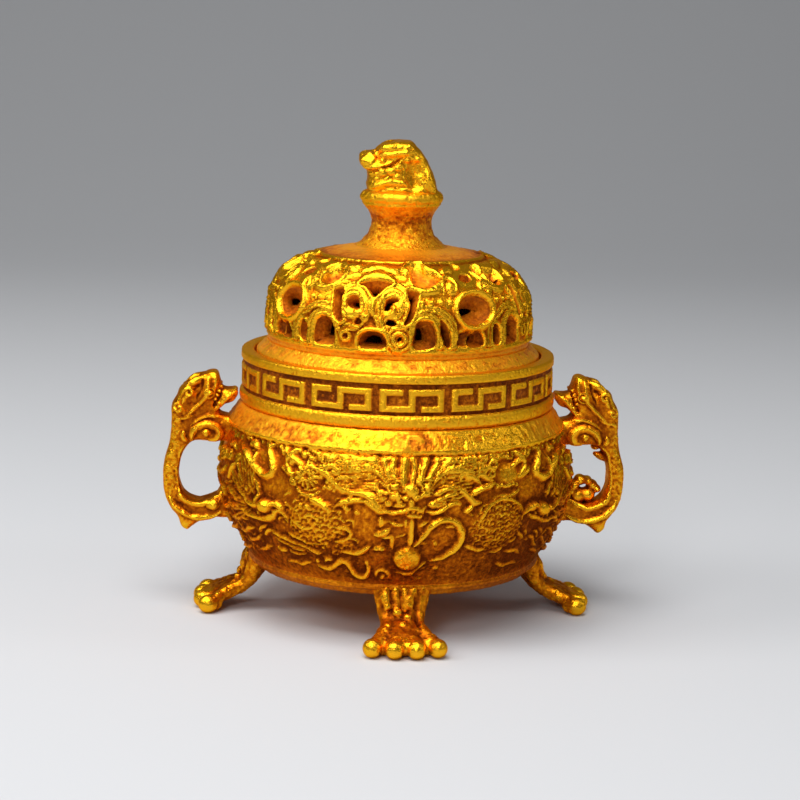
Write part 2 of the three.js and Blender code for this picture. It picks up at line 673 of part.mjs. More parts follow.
// A cutter with an oval section, square to the dome's wall, seen from the front
function piercing(rise, w, h, tilt, outside) {
  const z = DOME_BASE + rise;
  const next = Math.max(1, outside.findIndex((p) => p[1] > z));
  const [[r0, z0], [r1, z1]] = [outside[next - 1], outside[next]];
  const r = r0 + ((r1 - r0) * (z - z0)) / (z1 - z0);
  const lean = Math.atan2(r0 - r1, z1 - z0); // the wall's lean back from upright
  const sides = w * h > 30 ? 10 : 6;
  const narrow = PIERCING_TAPER; // over one wall's thickness, so twice that at each end
  const shape = new THREE.CylinderGeometry(0.5 - narrow, 0.5 + narrow, 4 * DOME_WALL, sides);
  shape.scale(w, 1, h).rotateY(tilt * DEG).rotateX(-lean).translate(0, -r, z);
  return solid(shape);
}

function pedestal() {
  const [low, high, w] = [DOME_TOP, BEAST_BASE, PEDESTAL_WAIST_R];
  const bead = PEDESTAL_BEAD_R;
  return turned(
    [
      [KNOB_SCREW_R + FIT, low],
      [DOME_TOP_R, low],
      [DOME_TOP_R - 1.3, low + 0.9],
      [w + 0.65, low + 2.6],
      [w, low + 4.4],
      [w, low + 6],
      [w + 0.8, low + 7.7],
      [bead - 0.8, low + 8.6],
      [bead, low + 9.6],
      [bead, high - 1],
      [bead - 0.5, high - 0.2],
      [bead - 1, high],
      [KNOB_SCREW_R + FIT, high],
    ],
    24,
  );
}

// The beast's outline: [along X, up from its base], from the chest over the snout and back
const BEAST = [
  [-7.2, 0], [-7.3, 1.6], [-7.4, 3.9], [-8.4, 4.8], [-9.1, 5.9], [-8.6, 7.1], [-7.2, 7.8],
  [-5.8, 7.4], [-5.3, 8.3], [-4.4, 9.3], [-2.2, 10.1], [0, 10.3], [1.6, 10.2], [2.4, 9.3],
  [4, 7.9], [5.3, 5.5], [6.3, 3.1], [7.1, 0.7], [7.1, -1.4], [-7, -1.4],
];

// A crouching beast looking to -X
function beast() {
  const base = BEAST_BASE;
  const side = BEAST_THICK / 2;
  const outline = BEAST.map(([x, z]) => [x, base + z]);
  const lumps = [-1, 1].flatMap((sign) => [
    ball(-1.6, sign * (side - 1.6), base + 1.2, 5, 2.4, 1.4), // fore leg
    ball(4, sign * (side - 1.8), base + 2.6, 2.6, 2.4, 3), // haunch
    ball(-3.4, sign * (side - 1.4), base + 8, 1.8, 1.5, 1.5, 7), // ear
    ball(-4.4, sign * (side - 1.6), base + 4.6, 2.2, 1.8, 1.6, 7), // cheek
  ]);
  const body = add(plate(outline, 40, BEAST_THICK, BEAST_ROUND), ...lumps);
  const below = box(-BELLY_R, BELLY_R, -BELLY_R, BELLY_R, base - LEG_HEIGHT, base);
  return cut(body, rod(KNOB_SCREW_R + FIT, base - 1, base + KNOB_SCREW_REACH + 0.6), below);
}

function washer() {
  const top = DOME_TOP - DOME_WALL;
  return turned(
    [
      [KNOB_SCREW_R + FIT, top - WASHER_THICK],
      [WASHER_R, top - WASHER_THICK],
      [WASHER_R, top],
      [KNOB_SCREW_R + FIT, top],
    ],
    16,
  );
}

// The assembly
const brass = { color: 0xd99a1c, roughness: 0.34, metalness: 1 };
const darkBrass = { color: 0x9a6418, roughness: 0.5, metalness: 1 };
const steel = { color: 0x9c9a94, roughness: 0.4, metalness: 1 };
const group = new THREE.Group();

function put(name, made, look, angle = 0) {
  const mesh = new THREE.Mesh(geometryOf(made), new THREE.MeshStandardMaterial(look));
  mesh.name = name;
  mesh.rotation.z = angle;
  group.add(mesh);
}

put("bowl", bowl(), brass);
put("neck_collar", collar(), brass);
const legScrew = screw(SCREW_HEAD_R, SCREW_HEAD, SCREW_R, FLOOR + 3).rotate([180, 0, 0]);
const legPlaces = { right: 0, back: 90, left: 180, front: 270 };
for (const [side, degrees] of Object.entries(legPlaces)) {
  put("leg_" + side, leg(), brass, degrees * DEG);
  const seat = legScrew.translate([UNDERSIDE_R - LEG_SCREW_IN, 0, UNDERSIDE + FLOOR]);
  put("leg_screw_" + side, seat, steel, degrees * DEG);
}
for (const [side, degrees] of [["left", 180], ["right", 0]]) {
  put("handle_" + side, handle(side === "right"), brass, degrees * DEG);
  for (const [where, z] of [["lower", HANDLE_LOW_Z], ["upper", HANDLE_HIGH_Z]]) {
    const seat = seatOf(z);
    const pin = screw(PIN_HEAD_R, PIN_HEAD, PIN_R, bowlRadius(z) - seat + PIN_REACH);
    put(`handle_screw_${side}_${where}`, pin.rotate([0, 90, 0]).translate([seat, 0, z]), steel,
      degrees * DEG);
  }
}
put("lid_flange", flange(), brass);
put("lid_dome", dome(), brass);
put("knob_pedestal", pedestal(), brass);
put("knob_beast", beast(), brass);
put("knob_washer", washer(), darkBrass);
const underDome = DOME_TOP - DOME_WALL - WASHER_THICK;
const knobLength = BEAST_BASE - underDome + KNOB_SCREW_REACH;
const knobScrew = screw(KNOB_SCREW_HEAD_R, SCREW_HEAD, KNOB_SCREW_R, knobLength);
put("knob_screw", knobScrew.translate([0, 0, underDome]), steel);

export default group;
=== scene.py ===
# The brass incense burner in a plain studio, from the photograph's view.
# Shapes are worked out in millimetres and handed to Blender in metres, in the frame's own axes.
import math

import bpy
import numpy as np
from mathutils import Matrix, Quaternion, Vector


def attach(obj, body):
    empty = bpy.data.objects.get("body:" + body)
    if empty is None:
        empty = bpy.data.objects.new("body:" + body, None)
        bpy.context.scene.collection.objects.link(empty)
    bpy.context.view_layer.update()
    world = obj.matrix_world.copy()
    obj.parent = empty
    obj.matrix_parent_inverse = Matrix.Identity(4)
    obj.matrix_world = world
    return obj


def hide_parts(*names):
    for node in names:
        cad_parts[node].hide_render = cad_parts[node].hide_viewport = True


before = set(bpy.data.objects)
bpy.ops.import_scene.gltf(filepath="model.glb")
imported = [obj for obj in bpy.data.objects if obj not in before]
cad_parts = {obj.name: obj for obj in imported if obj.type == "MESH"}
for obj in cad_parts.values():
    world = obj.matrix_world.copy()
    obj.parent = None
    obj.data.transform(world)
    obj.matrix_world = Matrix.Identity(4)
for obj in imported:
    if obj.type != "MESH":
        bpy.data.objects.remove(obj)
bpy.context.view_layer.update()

MM = 0.001
TAU = 2 * math.pi

# Sizes, as in the model
UNDERSIDE, RIM, LIP = 10.2, 44.8, 55.9
UNDERSIDE_R, FOOT_RING_R, RING_TOP = 29.2, 31.0, 12.2
BELLY_R, WIDEST = 36.95, 30.2
SHOULDER_R, EDGE, SHOULDER_LIP = 35.6, 41.3, 0.7
WALL, FLOOR = 2.5, 3.0
COLLAR_R, MOUTH_R, LEDGE_R, LEDGE = 33.0, 30.3, 27.8, 54.6
DOME_R, DOME_BASE, DOME_TOP, DOME_TOP_R, DOME_WALL = 27.5, 58.0, 77.9, 9.7, 2.0
LID_TURN = math.radians(-16)
PEDESTAL_WAIST_R, PEDESTAL_BEAD_R = 6.25, 8.6
BEAST_LOW, BEAST_BASE, CROWN = 88.6, 89.7, 100.03
HALF_ROUND = math.pi * BELLY_R  # half the belly's girth: the back repeats the front
FAR = 9.0  # farther off than anything that matters


# Lines and fields
def spline(points, steps=6, closed=False):
    """A smooth line through given points."""
    p = np.asarray(points, float)
    if len(p) == 2 and not closed:
        return np.linspace(p[0], p[1], steps + 1)
    before = np.vstack([p[-1:] if closed else 2 * p[:1] - p[1:2], p])
    after = [p[:1], p[1:2]] if closed else [2 * p[-1:] - p[-2:-1]]
    q = np.vstack([before] + after)
    t = np.linspace(0, 1, steps, endpoint=False)[:, None]
    out = []
    for a, b, c, d in zip(q[:-3], q[1:-2], q[2:-1], q[3:]):
        out.append(0.5 * (2 * b + (c - a) * t + (2 * a - 5 * b + 4 * c - d) * t**2
                          + (3 * b - a - 3 * c + d) * t**3))
    return np.vstack(out + [q[-2:-1]])


def to_line(points, line):
    """For each point: its distance to a line, the share of the way along it, and the nearest place."""
    lengths = np.linalg.norm(np.diff(line, axis=0), axis=1)
    starts = np.concatenate([[0], np.cumsum(lengths)])
    best = np.full(len(points), 1e9)
    along = np.zeros(len(points))
    nearest = np.zeros_like(points)
    for a, b, run, start in zip(line[:-1], line[1:], lengths, starts):
        if run < 1e-9:
            continue
        d = b - a
        t = np.clip(((points - a) @ d) / run**2, 0, 1)
        at = a + t[:, None] * d
        e = np.linalg.norm(points - at, axis=1)
        m = e < best
        best[m], nearest[m] = e[m], at[m]
        along[m] = start + t[m] * run
    return best, along / max(starts[-1], 1e-9), nearest


def within(points, line):
    """Which points lie inside a closed outline."""
    inside = np.zeros(len(points), bool)
    x, y = points[:, 0], points[:, 1]
    for (x0, y0), (x1, y1) in zip(line, np.roll(line, -1, axis=0)):
        if y0 != y1:
            crosses = (y0 > y) != (y1 > y)
            inside ^= crosses & (x < (x1 - x0) * (y - y0) / (y1 - y0) + x0)
    return inside


def depth_in(points, outline):
    """How deep points lie within a closed outline, negative outside it, and its nearest places."""
    d, _, nearest = to_line(points, outline)
    return np.where(within(points, outline), d, -d), nearest


def touching(at, line, reach, period):
    """The places within reach of a line, once for each way round a sheet: which they are, where
    they lie beside the line, and the shift that brings them there."""
    low, high = line.min(0) - reach, line.max(0) + reach
    for shift in (-period, 0, period) if period else (0,):
        moved = at + (shift, 0)
        m = np.flatnonzero(((moved > low) & (moved < high)).all(1))
        if len(m):
            yield m, moved[m], shift


def smooth(a, b, x):
    t = np.clip((x - a) / (b - a), 0, 1)
    return t * t * (3 - 2 * t)


LATTICE = np.random.default_rng(11).random((40, 40, 40))


def grain(points, size, shift=0.0):
    """Smooth noise from -1 to 1 over points in space, with lumps of about the given size."""
    q = points / size + 200 + shift
    low = np.floor(q).astype(int)
    t = q - low
    t = t * t * (3 - 2 * t)
    out = np.zeros(len(points))
    for corner in np.ndindex(2, 2, 2):
        weight = np.abs(1 - np.array(corner) - t).prod(1)
        out += weight * LATTICE[tuple(((low + corner) % len(LATTICE)).T)]
    return 2 * out - 1


class Relief:
    """Heights, in mm, over places on a flat sheet, worked up with strokes."""

    def __init__(self, across, up, period=0.0):
        self.at = np.stack([across, up], 1).astype(float)
        self.period = period
        self.ground = np.zeros(len(across))
        self.lines = np.zeros(len(across))

    def near(self, line, reach):
        """The sheet's places near a stroke, wherever the stroke comes round to them."""
        return touching(self.at, line, reach, self.period)

    def rope(self, width, height, *points, ends=(0.35, 0.35), closed=False):
        """A raised rope on a soft foot. ends: the share of its width left at each end."""
        line = spline(points, closed=closed)
        for m, p, _ in self.near(line, width * 1.3):
            d, t, _ = to_line(p, line)
            taper = np.minimum(1, np.minimum(ends[0] + (1 - ends[0]) * t * 5,
                                             ends[1] + (1 - ends[1]) * (1 - t) * 5))
            if closed:
                taper = 1.0
            r = d / (width / 2 * taper)
            shape = (0.42 * np.sqrt(np.clip(1 - r**2, 0, 1)) + 0.34 * np.clip(1 - r, 0, 1)
                     + 0.24 * np.exp(-((r / 1.2) ** 2)))
            self.lines[m] = np.maximum(self.lines[m], height * shape * np.sqrt(taper))

    def ropes(self, strokes):
        """A rope for each row of a table: width, height and places."""
        for width, height, *points in strokes:
            self.rope(width, height, *points)

    def ribbon(self, width, height, *points):
        """A flat band with a raised edge on both sides."""
        line = spline(points)
        for m, p, _ in self.near(line, width):
            r = to_line(p, line)[0] / (width / 2)
            shape = (0.35 + 0.65 * np.exp(-(((r - 0.7) / 0.24) ** 2))) * (1 - smooth(0.8, 1.02, r))
            self.lines[m] = np.maximum(self.lines[m], height * shape)

    def groove(self, width, depth, *points):
        """A round-bottomed cut."""
        line = spline(points)
        for m, p, _ in self.near(line, width):
            r = to_line(p, line)[0] / (width / 2)
            self.lines[m] -= depth * np.sqrt(np.clip(1 - r**2, 0, 1))

    def swelling(self, x, y, rx, ry, height):
        """A soft rise of the ground under the lines."""
        for m, p, _ in self.near(np.array([[x, y]]), max(rx, ry)):
            r = np.hypot((p[:, 0] - x) / rx, (p[:, 1] - y) / ry)
            self.ground[m] += height * (1 - smooth(0.3, 1.0, r))

    def boss(self, x, y, rx, ry, height):
        """A round knob, or a round hollow where the height is negative."""
        for m, p, _ in self.near(np.array([[x, y]]), max(rx, ry)):
            r = np.hypot((p[:, 0] - x) / rx, (p[:, 1] - y) / ry)
            shape = height * np.sqrt(np.clip(1 - r**2, 0, 1))
            self.lines[m] = self.lines[m] + shape if height < 0 else np.maximum(self.lines[m], shape)

    def ring(self, x, y, r, width, height, squash=1.0):
        """A rope that closes on itself round a middle."""
        a = np.linspace(0, TAU, 10)[:-1]
        points = np.stack([x + r * np.cos(a), y + r * squash * np.sin(a)], 1)
        self.rope(width, height, *points, closed=True)

    def curl(self, x, y, r, start, turns, width, height):
        """A spiral from its rim at angle start (degrees) in to its middle; turns may be negative."""
        t = np.linspace(0, 1, max(5, int(10 * abs(turns))))
        a = math.radians(start) + turns * TAU * t
        s = r * (1 - 0.8 * t)
        points = np.stack([x + s * np.cos(a), y + s * np.sin(a)], 1)
        self.rope(width, height, *points, ends=(0.6, 0.8))

    def height(self):
        return self.ground + self.lines


# Meshes
def relax(verts, edges, times, share=1.0):
    """Each vertex moved towards the middle of its neighbours."""
    ends = np.concatenate([edges[:, 0], edges[:, 1]])
    others = np.concatenate([edges[:, 1], edges[:, 0]])
    count = np.maximum(np.bincount(ends, minlength=len(verts)), 1)
    p = verts.copy()
    for _ in range(times):
        mean = np.stack([np.bincount(ends, p[others, k], len(verts)) for k in range(3)], 1)
        p += share * (mean / count[:, None] - p)
    return p


def normals_of(verts, faces):
    """Unit normals at the vertices, from the faces (triangles or quads as rows)."""
    total = np.zeros_like(verts)
    for rows in faces:
        rows = np.asarray(rows)
        n = np.cross(verts[rows[:, 2]] - verts[rows[:, 0]],
                     verts[rows[:, -1]] - verts[rows[:, 1]])
        for k in range(rows.shape[1]):
            for c in range(3):
                total[:, c] += np.bincount(rows[:, k], n[:, c], len(verts))
    return total / np.maximum(np.linalg.norm(total, axis=1), 1e-12)[:, None]


def edges_of(faces):
    out = []
    for rows in faces:
        rows = np.asarray(rows)
        for k in range(rows.shape[1]):
            out.append(np.stack([rows[:, k], rows[:, (k + 1) % rows.shape[1]]], 1))
    return np.unique(np.sort(np.vstack(out), axis=1), axis=0)


def into_scene(name, data):
    obj = bpy.data.objects.new(name, data)
    bpy.context.scene.collection.objects.link(obj)
    return obj


def make(name, verts, faces, body, node, material, rough=0.03, crease=0.22, inside=0, wear_and_painted_light=0):
    """A mesh object in place of a node. Each point also gets its depth below its surroundings, which
    darkens the hollows as patina and as painted shade, less its wear and painted light, and its share
    of the dull, sooty colour of inner sides, which also serves as painted shade."""
    faces = [np.asarray(f) for f in faces if len(f)]
    used = np.unique(np.concatenate([f.ravel() for f in faces]))
    new = np.full(len(verts), -1)
    new[used] = np.arange(len(used))
    inside, wear_and_painted_light = (np.broadcast_to(v, len(verts))[used] for v in (inside, wear_and_painted_light))
    verts, faces = verts[used], [new[f] for f in faces]
    if rough:
        lumps = grain(verts, 0.7) + 0.6 * grain(verts, 1.9, 7.3)
        verts = verts + normals_of(verts, faces) * (rough * lumps)[:, None]
    # the surroundings: the same mesh smoothed over a few rings of points, and over many
    edges = edges_of(faces)
    near = relax(verts, edges, 5)
    wide = relax(near, edges, 26)
    hollow = 0.6 * near + 0.4 * wide - verts
    depth = 0.5 + 0.5 * (hollow * normals_of(verts, faces)).sum(1) / crease
    mesh = bpy.data.meshes.new(name)
    mesh.from_pydata((verts * MM).tolist(), [], [row for f in faces for row in f.tolist()])
    mesh.update()
    mesh.shade_smooth()
    # colour attributes: depth darkens the hollows, as patina and painted shade; the wear term lightens
    # or darkens places, as wear, stains, painted light and painted shade
    for key, values in (("depth", np.clip(depth, 0, 1) - wear_and_painted_light), ("inside", inside)):
        layer = mesh.attributes.new(key, "FLOAT", "POINT")
        layer.data.foreach_set("value", values.astype(np.float32))
    mesh.materials.append(material)
    obj = into_scene(name, mesh)
    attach(obj, body)
    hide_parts(node)


def grid_faces(rows, columns, first=0, loop=False):
    """Quads over rows of points, facing out when rows run up and columns run anticlockwise."""
    i = np.arange(rows if loop else rows - 1)[:, None]
    j = np.arange(columns)[None, :]
    low, high, beside = i * columns, (i + 1) % rows * columns, (j + 1) % columns
    corners = low + j, low + beside, high + beside, high + j
    return first + np.stack([c.ravel() for c in corners], 1)


def resample(profile, spacing):
    """Points along a profile of [radius, z] at about the given spacing, its corners kept."""
    profile = np.asarray(profile, float)
    out = [profile[0]]
    for a, b in zip(profile[:-1], profile[1:]):
        n = max(1, int(round(np.linalg.norm(b - a) / spacing)))
        out += [a + (b - a) * k / n for k in range(1, n + 1)]
    return np.array(out)


def joined(*stretches):
    """Points along profiles that meet end to end, each given with its own spacing."""
    parts = [resample(profile, spacing) for profile, spacing in stretches]
    return np.vstack([part[:-1] for part in parts[:-1]] + parts[-1:])


def turned(profile, columns):
    """Points, or normals, of a profile turned round Z: rows follow the profile."""
    a = TAU * np.arange(columns) / columns
    r, z = profile[:, 0][:, None], profile[:, 1][:, None]
    x, y = r * np.sin(a), -r * np.cos(a)
    return np.stack([x, y, np.broadcast_to(z, x.shape)], -1)


def profile_normals(profile):
    d = np.gradient(profile, axis=0)
    n = np.stack([d[:, 1], -d[:, 0]], 1)
    return n / np.maximum(np.linalg.norm(n, axis=1), 1e-9)[:, None]


def fan(ring, middle, upward):
    """Triangles from a ring of points to the point in its middle."""
    ahead = np.roll(ring, -1)
    middle = np.full(len(ring), middle)
    return np.stack([ring, ahead, middle] if upward else [ahead, ring, middle], 1)


# Materials
def node_of(tree, kind, **values):
    node = tree.nodes.new(kind)
    for key, value in values.items():
        if key.startswith("in_"):
            node.inputs[int(key[3:]) if key[3:].isdigit() else key[3:]].default_value = value
        else:
            setattr(node, key, value)
    return node


def ramp_of(tree, source, *stops):
    ramp = tree.nodes.new("ShaderNodeValToRGB")
    while len(ramp.color_ramp.elements) < len(stops):
        ramp.color_ramp.elements.new(0.5)
    for element, (place, colour) in zip(ramp.color_ramp.elements, stops):
        element.position = place
        element.color = (*colour, 1) if isinstance(colour, tuple) else (colour,) * 3 + (1,)
    tree.links.new(source, ramp.inputs["Fac"])
    return ramp.outputs["Color"]


def maths(tree, operation, a, b):
    node = node_of(tree, "ShaderNodeMath", operation=operation)
    for socket, value in zip(node.inputs, (a, b)):
        if isinstance(value, (int, float)):
            socket.default_value = value
        else:
            tree.links.new(value, socket)
    return node.outputs[0]


def new_material(name):
    material = bpy.data.materials.new(name)
    material.use_nodes = True
    return material, material.node_tree, material.node_tree.nodes["Principled BSDF"]


def noise(tree, place, scale, detail, rough=0.5):
    node = node_of(tree, "ShaderNodeTexNoise", in_Scale=scale, in_Detail=detail, in_Roughness=rough)
    tree.links.new(place, node.inputs["Vector"])
    return node.outputs["Fac"]


def add_bumps(tree, shader, height, strength, distance):
    bump = node_of(tree, "ShaderNodeBump", in_Strength=strength, in_Distance=distance)
    tree.links.new(height, bump.inputs["Height"])
    tree.links.new(bump.outputs["Normal"], shader.inputs["Normal"])


def brass(name, polish=0.0, grit=1.0, gloss=0.25):
    """Cast brass under a warm gilding: sooty and dark in the hollows, as patina and as painted shade,
    granular on the flats, and rubbed bright on the ridges; the points' painted light and shade also
    lighten or darken it."""
    material, tree, shader = new_material(name)
    place = node_of(tree, "ShaderNodeTexCoord").outputs["Object"]

    def add(a, b):
        return maths(tree, "ADD", a, b)

    def less(a, b):
        return maths(tree, "SUBTRACT", a, b)

    def times(a, b):
        return maths(tree, "MULTIPLY", a, b)

    def mixed(a, b, share, kind="FLOAT"):
        node = node_of(tree, "ShaderNodeMix", data_type=kind)
        first, out = {"FLOAT": (2, 0), "RGBA": (6, 2)}[kind]
        for at, value in ((0, share), (first, a), (first + 1, b)):
            if isinstance(value, bpy.types.NodeSocket):
                tree.links.new(value, node.inputs[at])
            else:
                node.inputs[at].default_value = value
        return node.outputs[out]

    blotch = noise(tree, place, 190.0, 3.0, 0.6)
    speck = noise(tree, place, 1500.0, 3.0, 0.65)
    fine = noise(tree, place, 3600.0, 2.0, 0.6)
    cells = node_of(tree, "ShaderNodeTexVoronoi", in_Scale=850.0)
    tree.links.new(place, cells.inputs["Vector"])
    pits = ramp_of(tree, cells.outputs["Distance"], (0.05, 0.0), (0.4, 1.0))
    depth, inside = (node_of(tree, "ShaderNodeAttribute", attribute_name=key).outputs["Fac"]
                     for key in ("depth", "inside"))
    # how bright the colour is: low in hollows (patina and painted shade), high on ridges, and moved by
    # the painted light and shade carried in the depth attribute
    ridge_wear_and_painted_light = less(1.0, depth)
    patch = times(less(blotch, 0.5), 0.3 * grit)
    dots = times(less(speck, 0.5), 0.7 * grit)
    rub_and_painted_light = add(add(ridge_wear_and_painted_light, patch), add(dots, polish))
    colour = ramp_of(tree, rub_and_painted_light, (0.1, (0.14, 0.022, 0.002)), (0.34, (0.42, 0.09, 0.003)),
                     (0.5, (0.66, 0.18, 0.004)), (0.64, (0.93, 0.33, 0.006)),
                     (0.84, (1.0, 0.49, 0.014)))
    # the sooty colour of inner sides and sunk ground, which also paints shade behind the lid's
    # openings; darker still in hollows
    shade = times(less(ridge_wear_and_painted_light, 0.5), 0.5)
    soot_and_painted_shade = ramp_of(tree, add(add(blotch, shade), dots), (0.08, (0.16, 0.026, 0.003)),
                   (0.34, (0.5, 0.11, 0.004)), (0.7, (0.95, 0.3, 0.01)))
    dull = ramp_of(tree, rub_and_painted_light, (0.2, gloss + 0.2), (0.5, gloss + 0.08), (0.75, gloss))
    shader.inputs["Specular Tint"].default_value = (1.0, 0.6, 0.1, 1.0)
    tree.links.new(mixed(colour, soot_and_painted_shade, inside, "RGBA"), shader.inputs["Base Color"])
    tree.links.new(mixed(dull, 0.48, inside), shader.inputs["Roughness"])
    tree.links.new(mixed(0.92, 0.2, inside), shader.inputs["Metallic"])
    coarse = add(times(speck, 0.6), add(times(fine, 0.25), times(pits, 0.35)))
    rise = times(coarse, ramp_of(tree, rub_and_painted_light, (0.3, 1.0), (0.8, 0.5)))
    add_bumps(tree, shader, rise, 0.7, 0.0006 * grit)
    return material


relief_brass = brass("brass_relief")
plain_brass = brass("brass_granular", polish=0.05, grit=1.6, gloss=0.31)
rubbed_brass = brass("brass_rubbed", polish=0.04, grit=1.0, gloss=0.25)


# The bowl
def bowl_outside():
    points = [(UNDERSIDE_R, UNDERSIDE), (UNDERSIDE_R + 1.1, UNDERSIDE + 1.3),
              (FOOT_RING_R - 0.15, RING_TOP - 0.6), (FOOT_RING_R, RING_TOP - 0.35),
              (FOOT_RING_R, RING_TOP + 0.1), (FOOT_RING_R - 0.25, RING_TOP + 0.45)]
    start, low = FOOT_RING_R - 0.2, RING_TOP + 0.5
    for t in np.linspace(0.02, 1, 30):
        points.append((start + (BELLY_R - start) * math.sin(t * math.pi / 2),
                       low + (WIDEST - low) * t))
    waist, top = SHOULDER_R - 0.7, EDGE - SHOULDER_LIP - 0.4
    for t in np.linspace(0.05, 1, 16):
        points.append((waist + (BELLY_R - waist) * math.cos(t * math.pi / 2),
                       WIDEST + (top - WIDEST) * t))
    return points


def bowl_radius(z):
    out = np.array(bowl_outside() + [(SHOULDER_R, EDGE - SHOULDER_LIP), (SHOULDER_R, EDGE),
                                     (COLLAR_R, RIM)])
    return np.interp(z, out[:, 1], out[:, 0])


# Strokes of the relief: width, height, then places (along from the front, up from the table).
# A stroke of PAIRED is also drawn mirrored; the others stand where they are.
FLAMES = [  # hair standing up over the mask
    (1.8, 1.3, (-1.3, 34.8), (-1.2, 37), (-1, 39), (-0.7, 41.2)),
    (2.0, 0.8, (-0.9, 40.6), (-0.6, 42.2), (-0.1, 43.4)),
    (1.2, 0.7, (-0.3, 43.6), (1.2, 43.9), (2.6, 43.2), (3.4, 42.6)),
    (1.2, 1.2, (0.7, 34.6), (0.9, 37), (0.8, 38.8), (0.3, 40.9)),
    (1.3, 1.1, (2.1, 34.8), (2.6, 37), (3.3, 38.8), (3.9, 40.8)),
    (1.3, 1.1, (3.8, 35), (4.7, 37.4), (5.8, 38.6), (5.9, 40.8)),
    (1.3, 1.1, (-2.6, 34.8), (-3.3, 37), (-3.3, 38.6), (-2.7, 40.8)),
    (1.4, 1.1, (-3.9, 35), (-4.3, 37.2), (-4.9, 38.8), (-5.4, 40.6)),
    (0.8, 0.9, (-0.2, 35), (-0.3, 37.6), (-0.4, 39.4)),
    (0.8, 0.9, (1.5, 35), (1.8, 37.2), (2.1, 38.8)),
]
MASK = [  # brows, nose, jaw and beard
    (1.6, 1.3, (-1.6, 33.4), (0.1, 34.3), (2.0, 33.5)),
    (1.4, 1.2, (-1.4, 32.3), (-3, 32.5), (-4.2, 32)),
    (1.3, 1.2, (0.4, 32.2), (0.5, 30.8), (0.5, 30.2)),
    (1.1, 1.1, (-5.2, 30.8), (-4.4, 29.6), (-3, 29), (-1.6, 29.6), (0, 30.2), (1.6, 30.2),
     (2.8, 29.4), (3.4, 30.4)),
    (1.0, 1.0, (-3.2, 30.4), (-1.8, 30.8), (-0.6, 31.2)),
    (1.0, 0.9, (-0.4, 28.8), (1, 28.6), (2.4, 28.2), (3, 28.8)),
    (1.0, 1.0, (1.8, 32), (3, 32.8), (4.4, 32.6)),
    (1.2, 0.9, (0.65, 22), (0.65, 25), (0.65, 28.2)),
    (0.8, 0.8, (-0.4, 27.8), (-0.6, 26.8), (-0.3, 26.2)),
    (0.8, 0.7, (-3.6, 27), (-2.2, 26.6), (-1, 26.9)),
    (0.8, 0.7, (2.4, 26.4), (3.4, 26.8), (4.2, 27.2)),
]
LEFT = [  # the body, claws and ribbons to the left of the mask
    (1.7, 1.2, (-20.4, 37.4), (-18, 36), (-15.6, 35), (-14.2, 33.6), (-12, 32.7), (-9.4, 32.8),
     (-7.4, 31.8), (-5.6, 30), (-4, 29)),
    (1.3, 1.1, (-15.2, 35.1), (-12.8, 35.3), (-10.6, 35.7), (-9, 36)),
    (1.2, 1.2, (-11.4, 32.6), (-11.7, 31.4), (-13, 30.6), (-14, 30.1)),
    (1.3, 1.3, (-13.2, 30.4), (-11.2, 30.9), (-9.4, 31.3), (-8.6, 31)),
    (0.9, 0.9, (-12.8, 30), (-12.2, 29.2), (-11.6, 29.3)),
    (0.8, 0.8, (-15.6, 25.4), (-13.8, 25.4), (-12, 24.9), (-11.8, 23.4), (-13, 22.4),
     (-15, 22.2)),
    (0.8, 0.7, (-15.2, 24.4), (-13.8, 24.4), (-13.2, 23.6)),
    (1.1, 0.9, (-5.2, 28.2), (-5, 27), (-5.3, 26)),
    (1.3, 1.1, (-6.4, 24.3), (-5, 24.6), (-3.8, 25.7)),
    (1.0, 0.9, (-5, 23.6), (-3.4, 24), (-3.2, 22.6), (-3, 21.2)),
    (1.3, 1.1, (-13.8, 20), (-11.8, 20.1), (-10, 20), (-8.8, 20.7), (-7.6, 21.5)),
    (1.0, 1.0, (-6.8, 20.9), (-5.6, 21.3), (-4.2, 21)),
    (1.4, 1.1, (-20.4, 16.2), (-18.6, 15.8), (-17, 16.1), (-15.4, 17.2), (-14.2, 17.9),
     (-13, 17.6), (-12.2, 16.4), (-11.4, 15.1), (-10, 14.6), (-8.6, 15.1), (-8.2, 16.6),
     (-8.3, 18.2)),
    (1.0, 0.9, (-18.2, 17.3), (-17.2, 18.1), (-16.2, 17.9)),
    (0.9, 0.8, (-19.8, 17.6), (-20.3, 16.8)),
    (0.9, 0.8, (-6.6, 14.6), (-6, 16.2), (-4.6, 16.2), (-3.8, 15.3), (-3.4, 14.2)),
    (0.9, 0.8, (-5.2, 14.2), (-5, 15.2)),
    (1.5, 1.1, (-20.6, 31.2), (-18.8, 30.4), (-17, 29.5), (-15.8, 28.6)),
    (0.9, 0.8, (-22.6, 31.6), (-23.2, 32.6)),
    (0.9, 0.8, (-22.8, 29.2), (-21.6, 29)),
    (1.0, 0.9, (-21.2, 29.3), (-19.6, 28.4)),
    (0.9, 0.8, (-10.6, 28.4), (-9.8, 28.8)),
    (0.9, 0.8, (-26.4, 19.4), (-24.6, 19.2), (-22.8, 19.4)),
    (1.1, 1.0, (-22, 20.4), (-20.4, 19.5), (-18.4, 19.2)),
    (1.1, 1.0, (-28.6, 26.6), (-27.4, 27.3), (-26.2, 26.6), (-25.4, 25.7)),
    (1.0, 0.9, (-31, 18.7), (-29.6, 18.3), (-28, 18.5)),
    (1.4, 1.1, (-34.4, 24.8), (-32, 24.6), (-30, 25.2), (-28.6, 26.3), (-28.3, 27)),
    (1.2, 1.0, (-33, 29.6), (-34.2, 28.4), (-33.6, 27.4)),
]
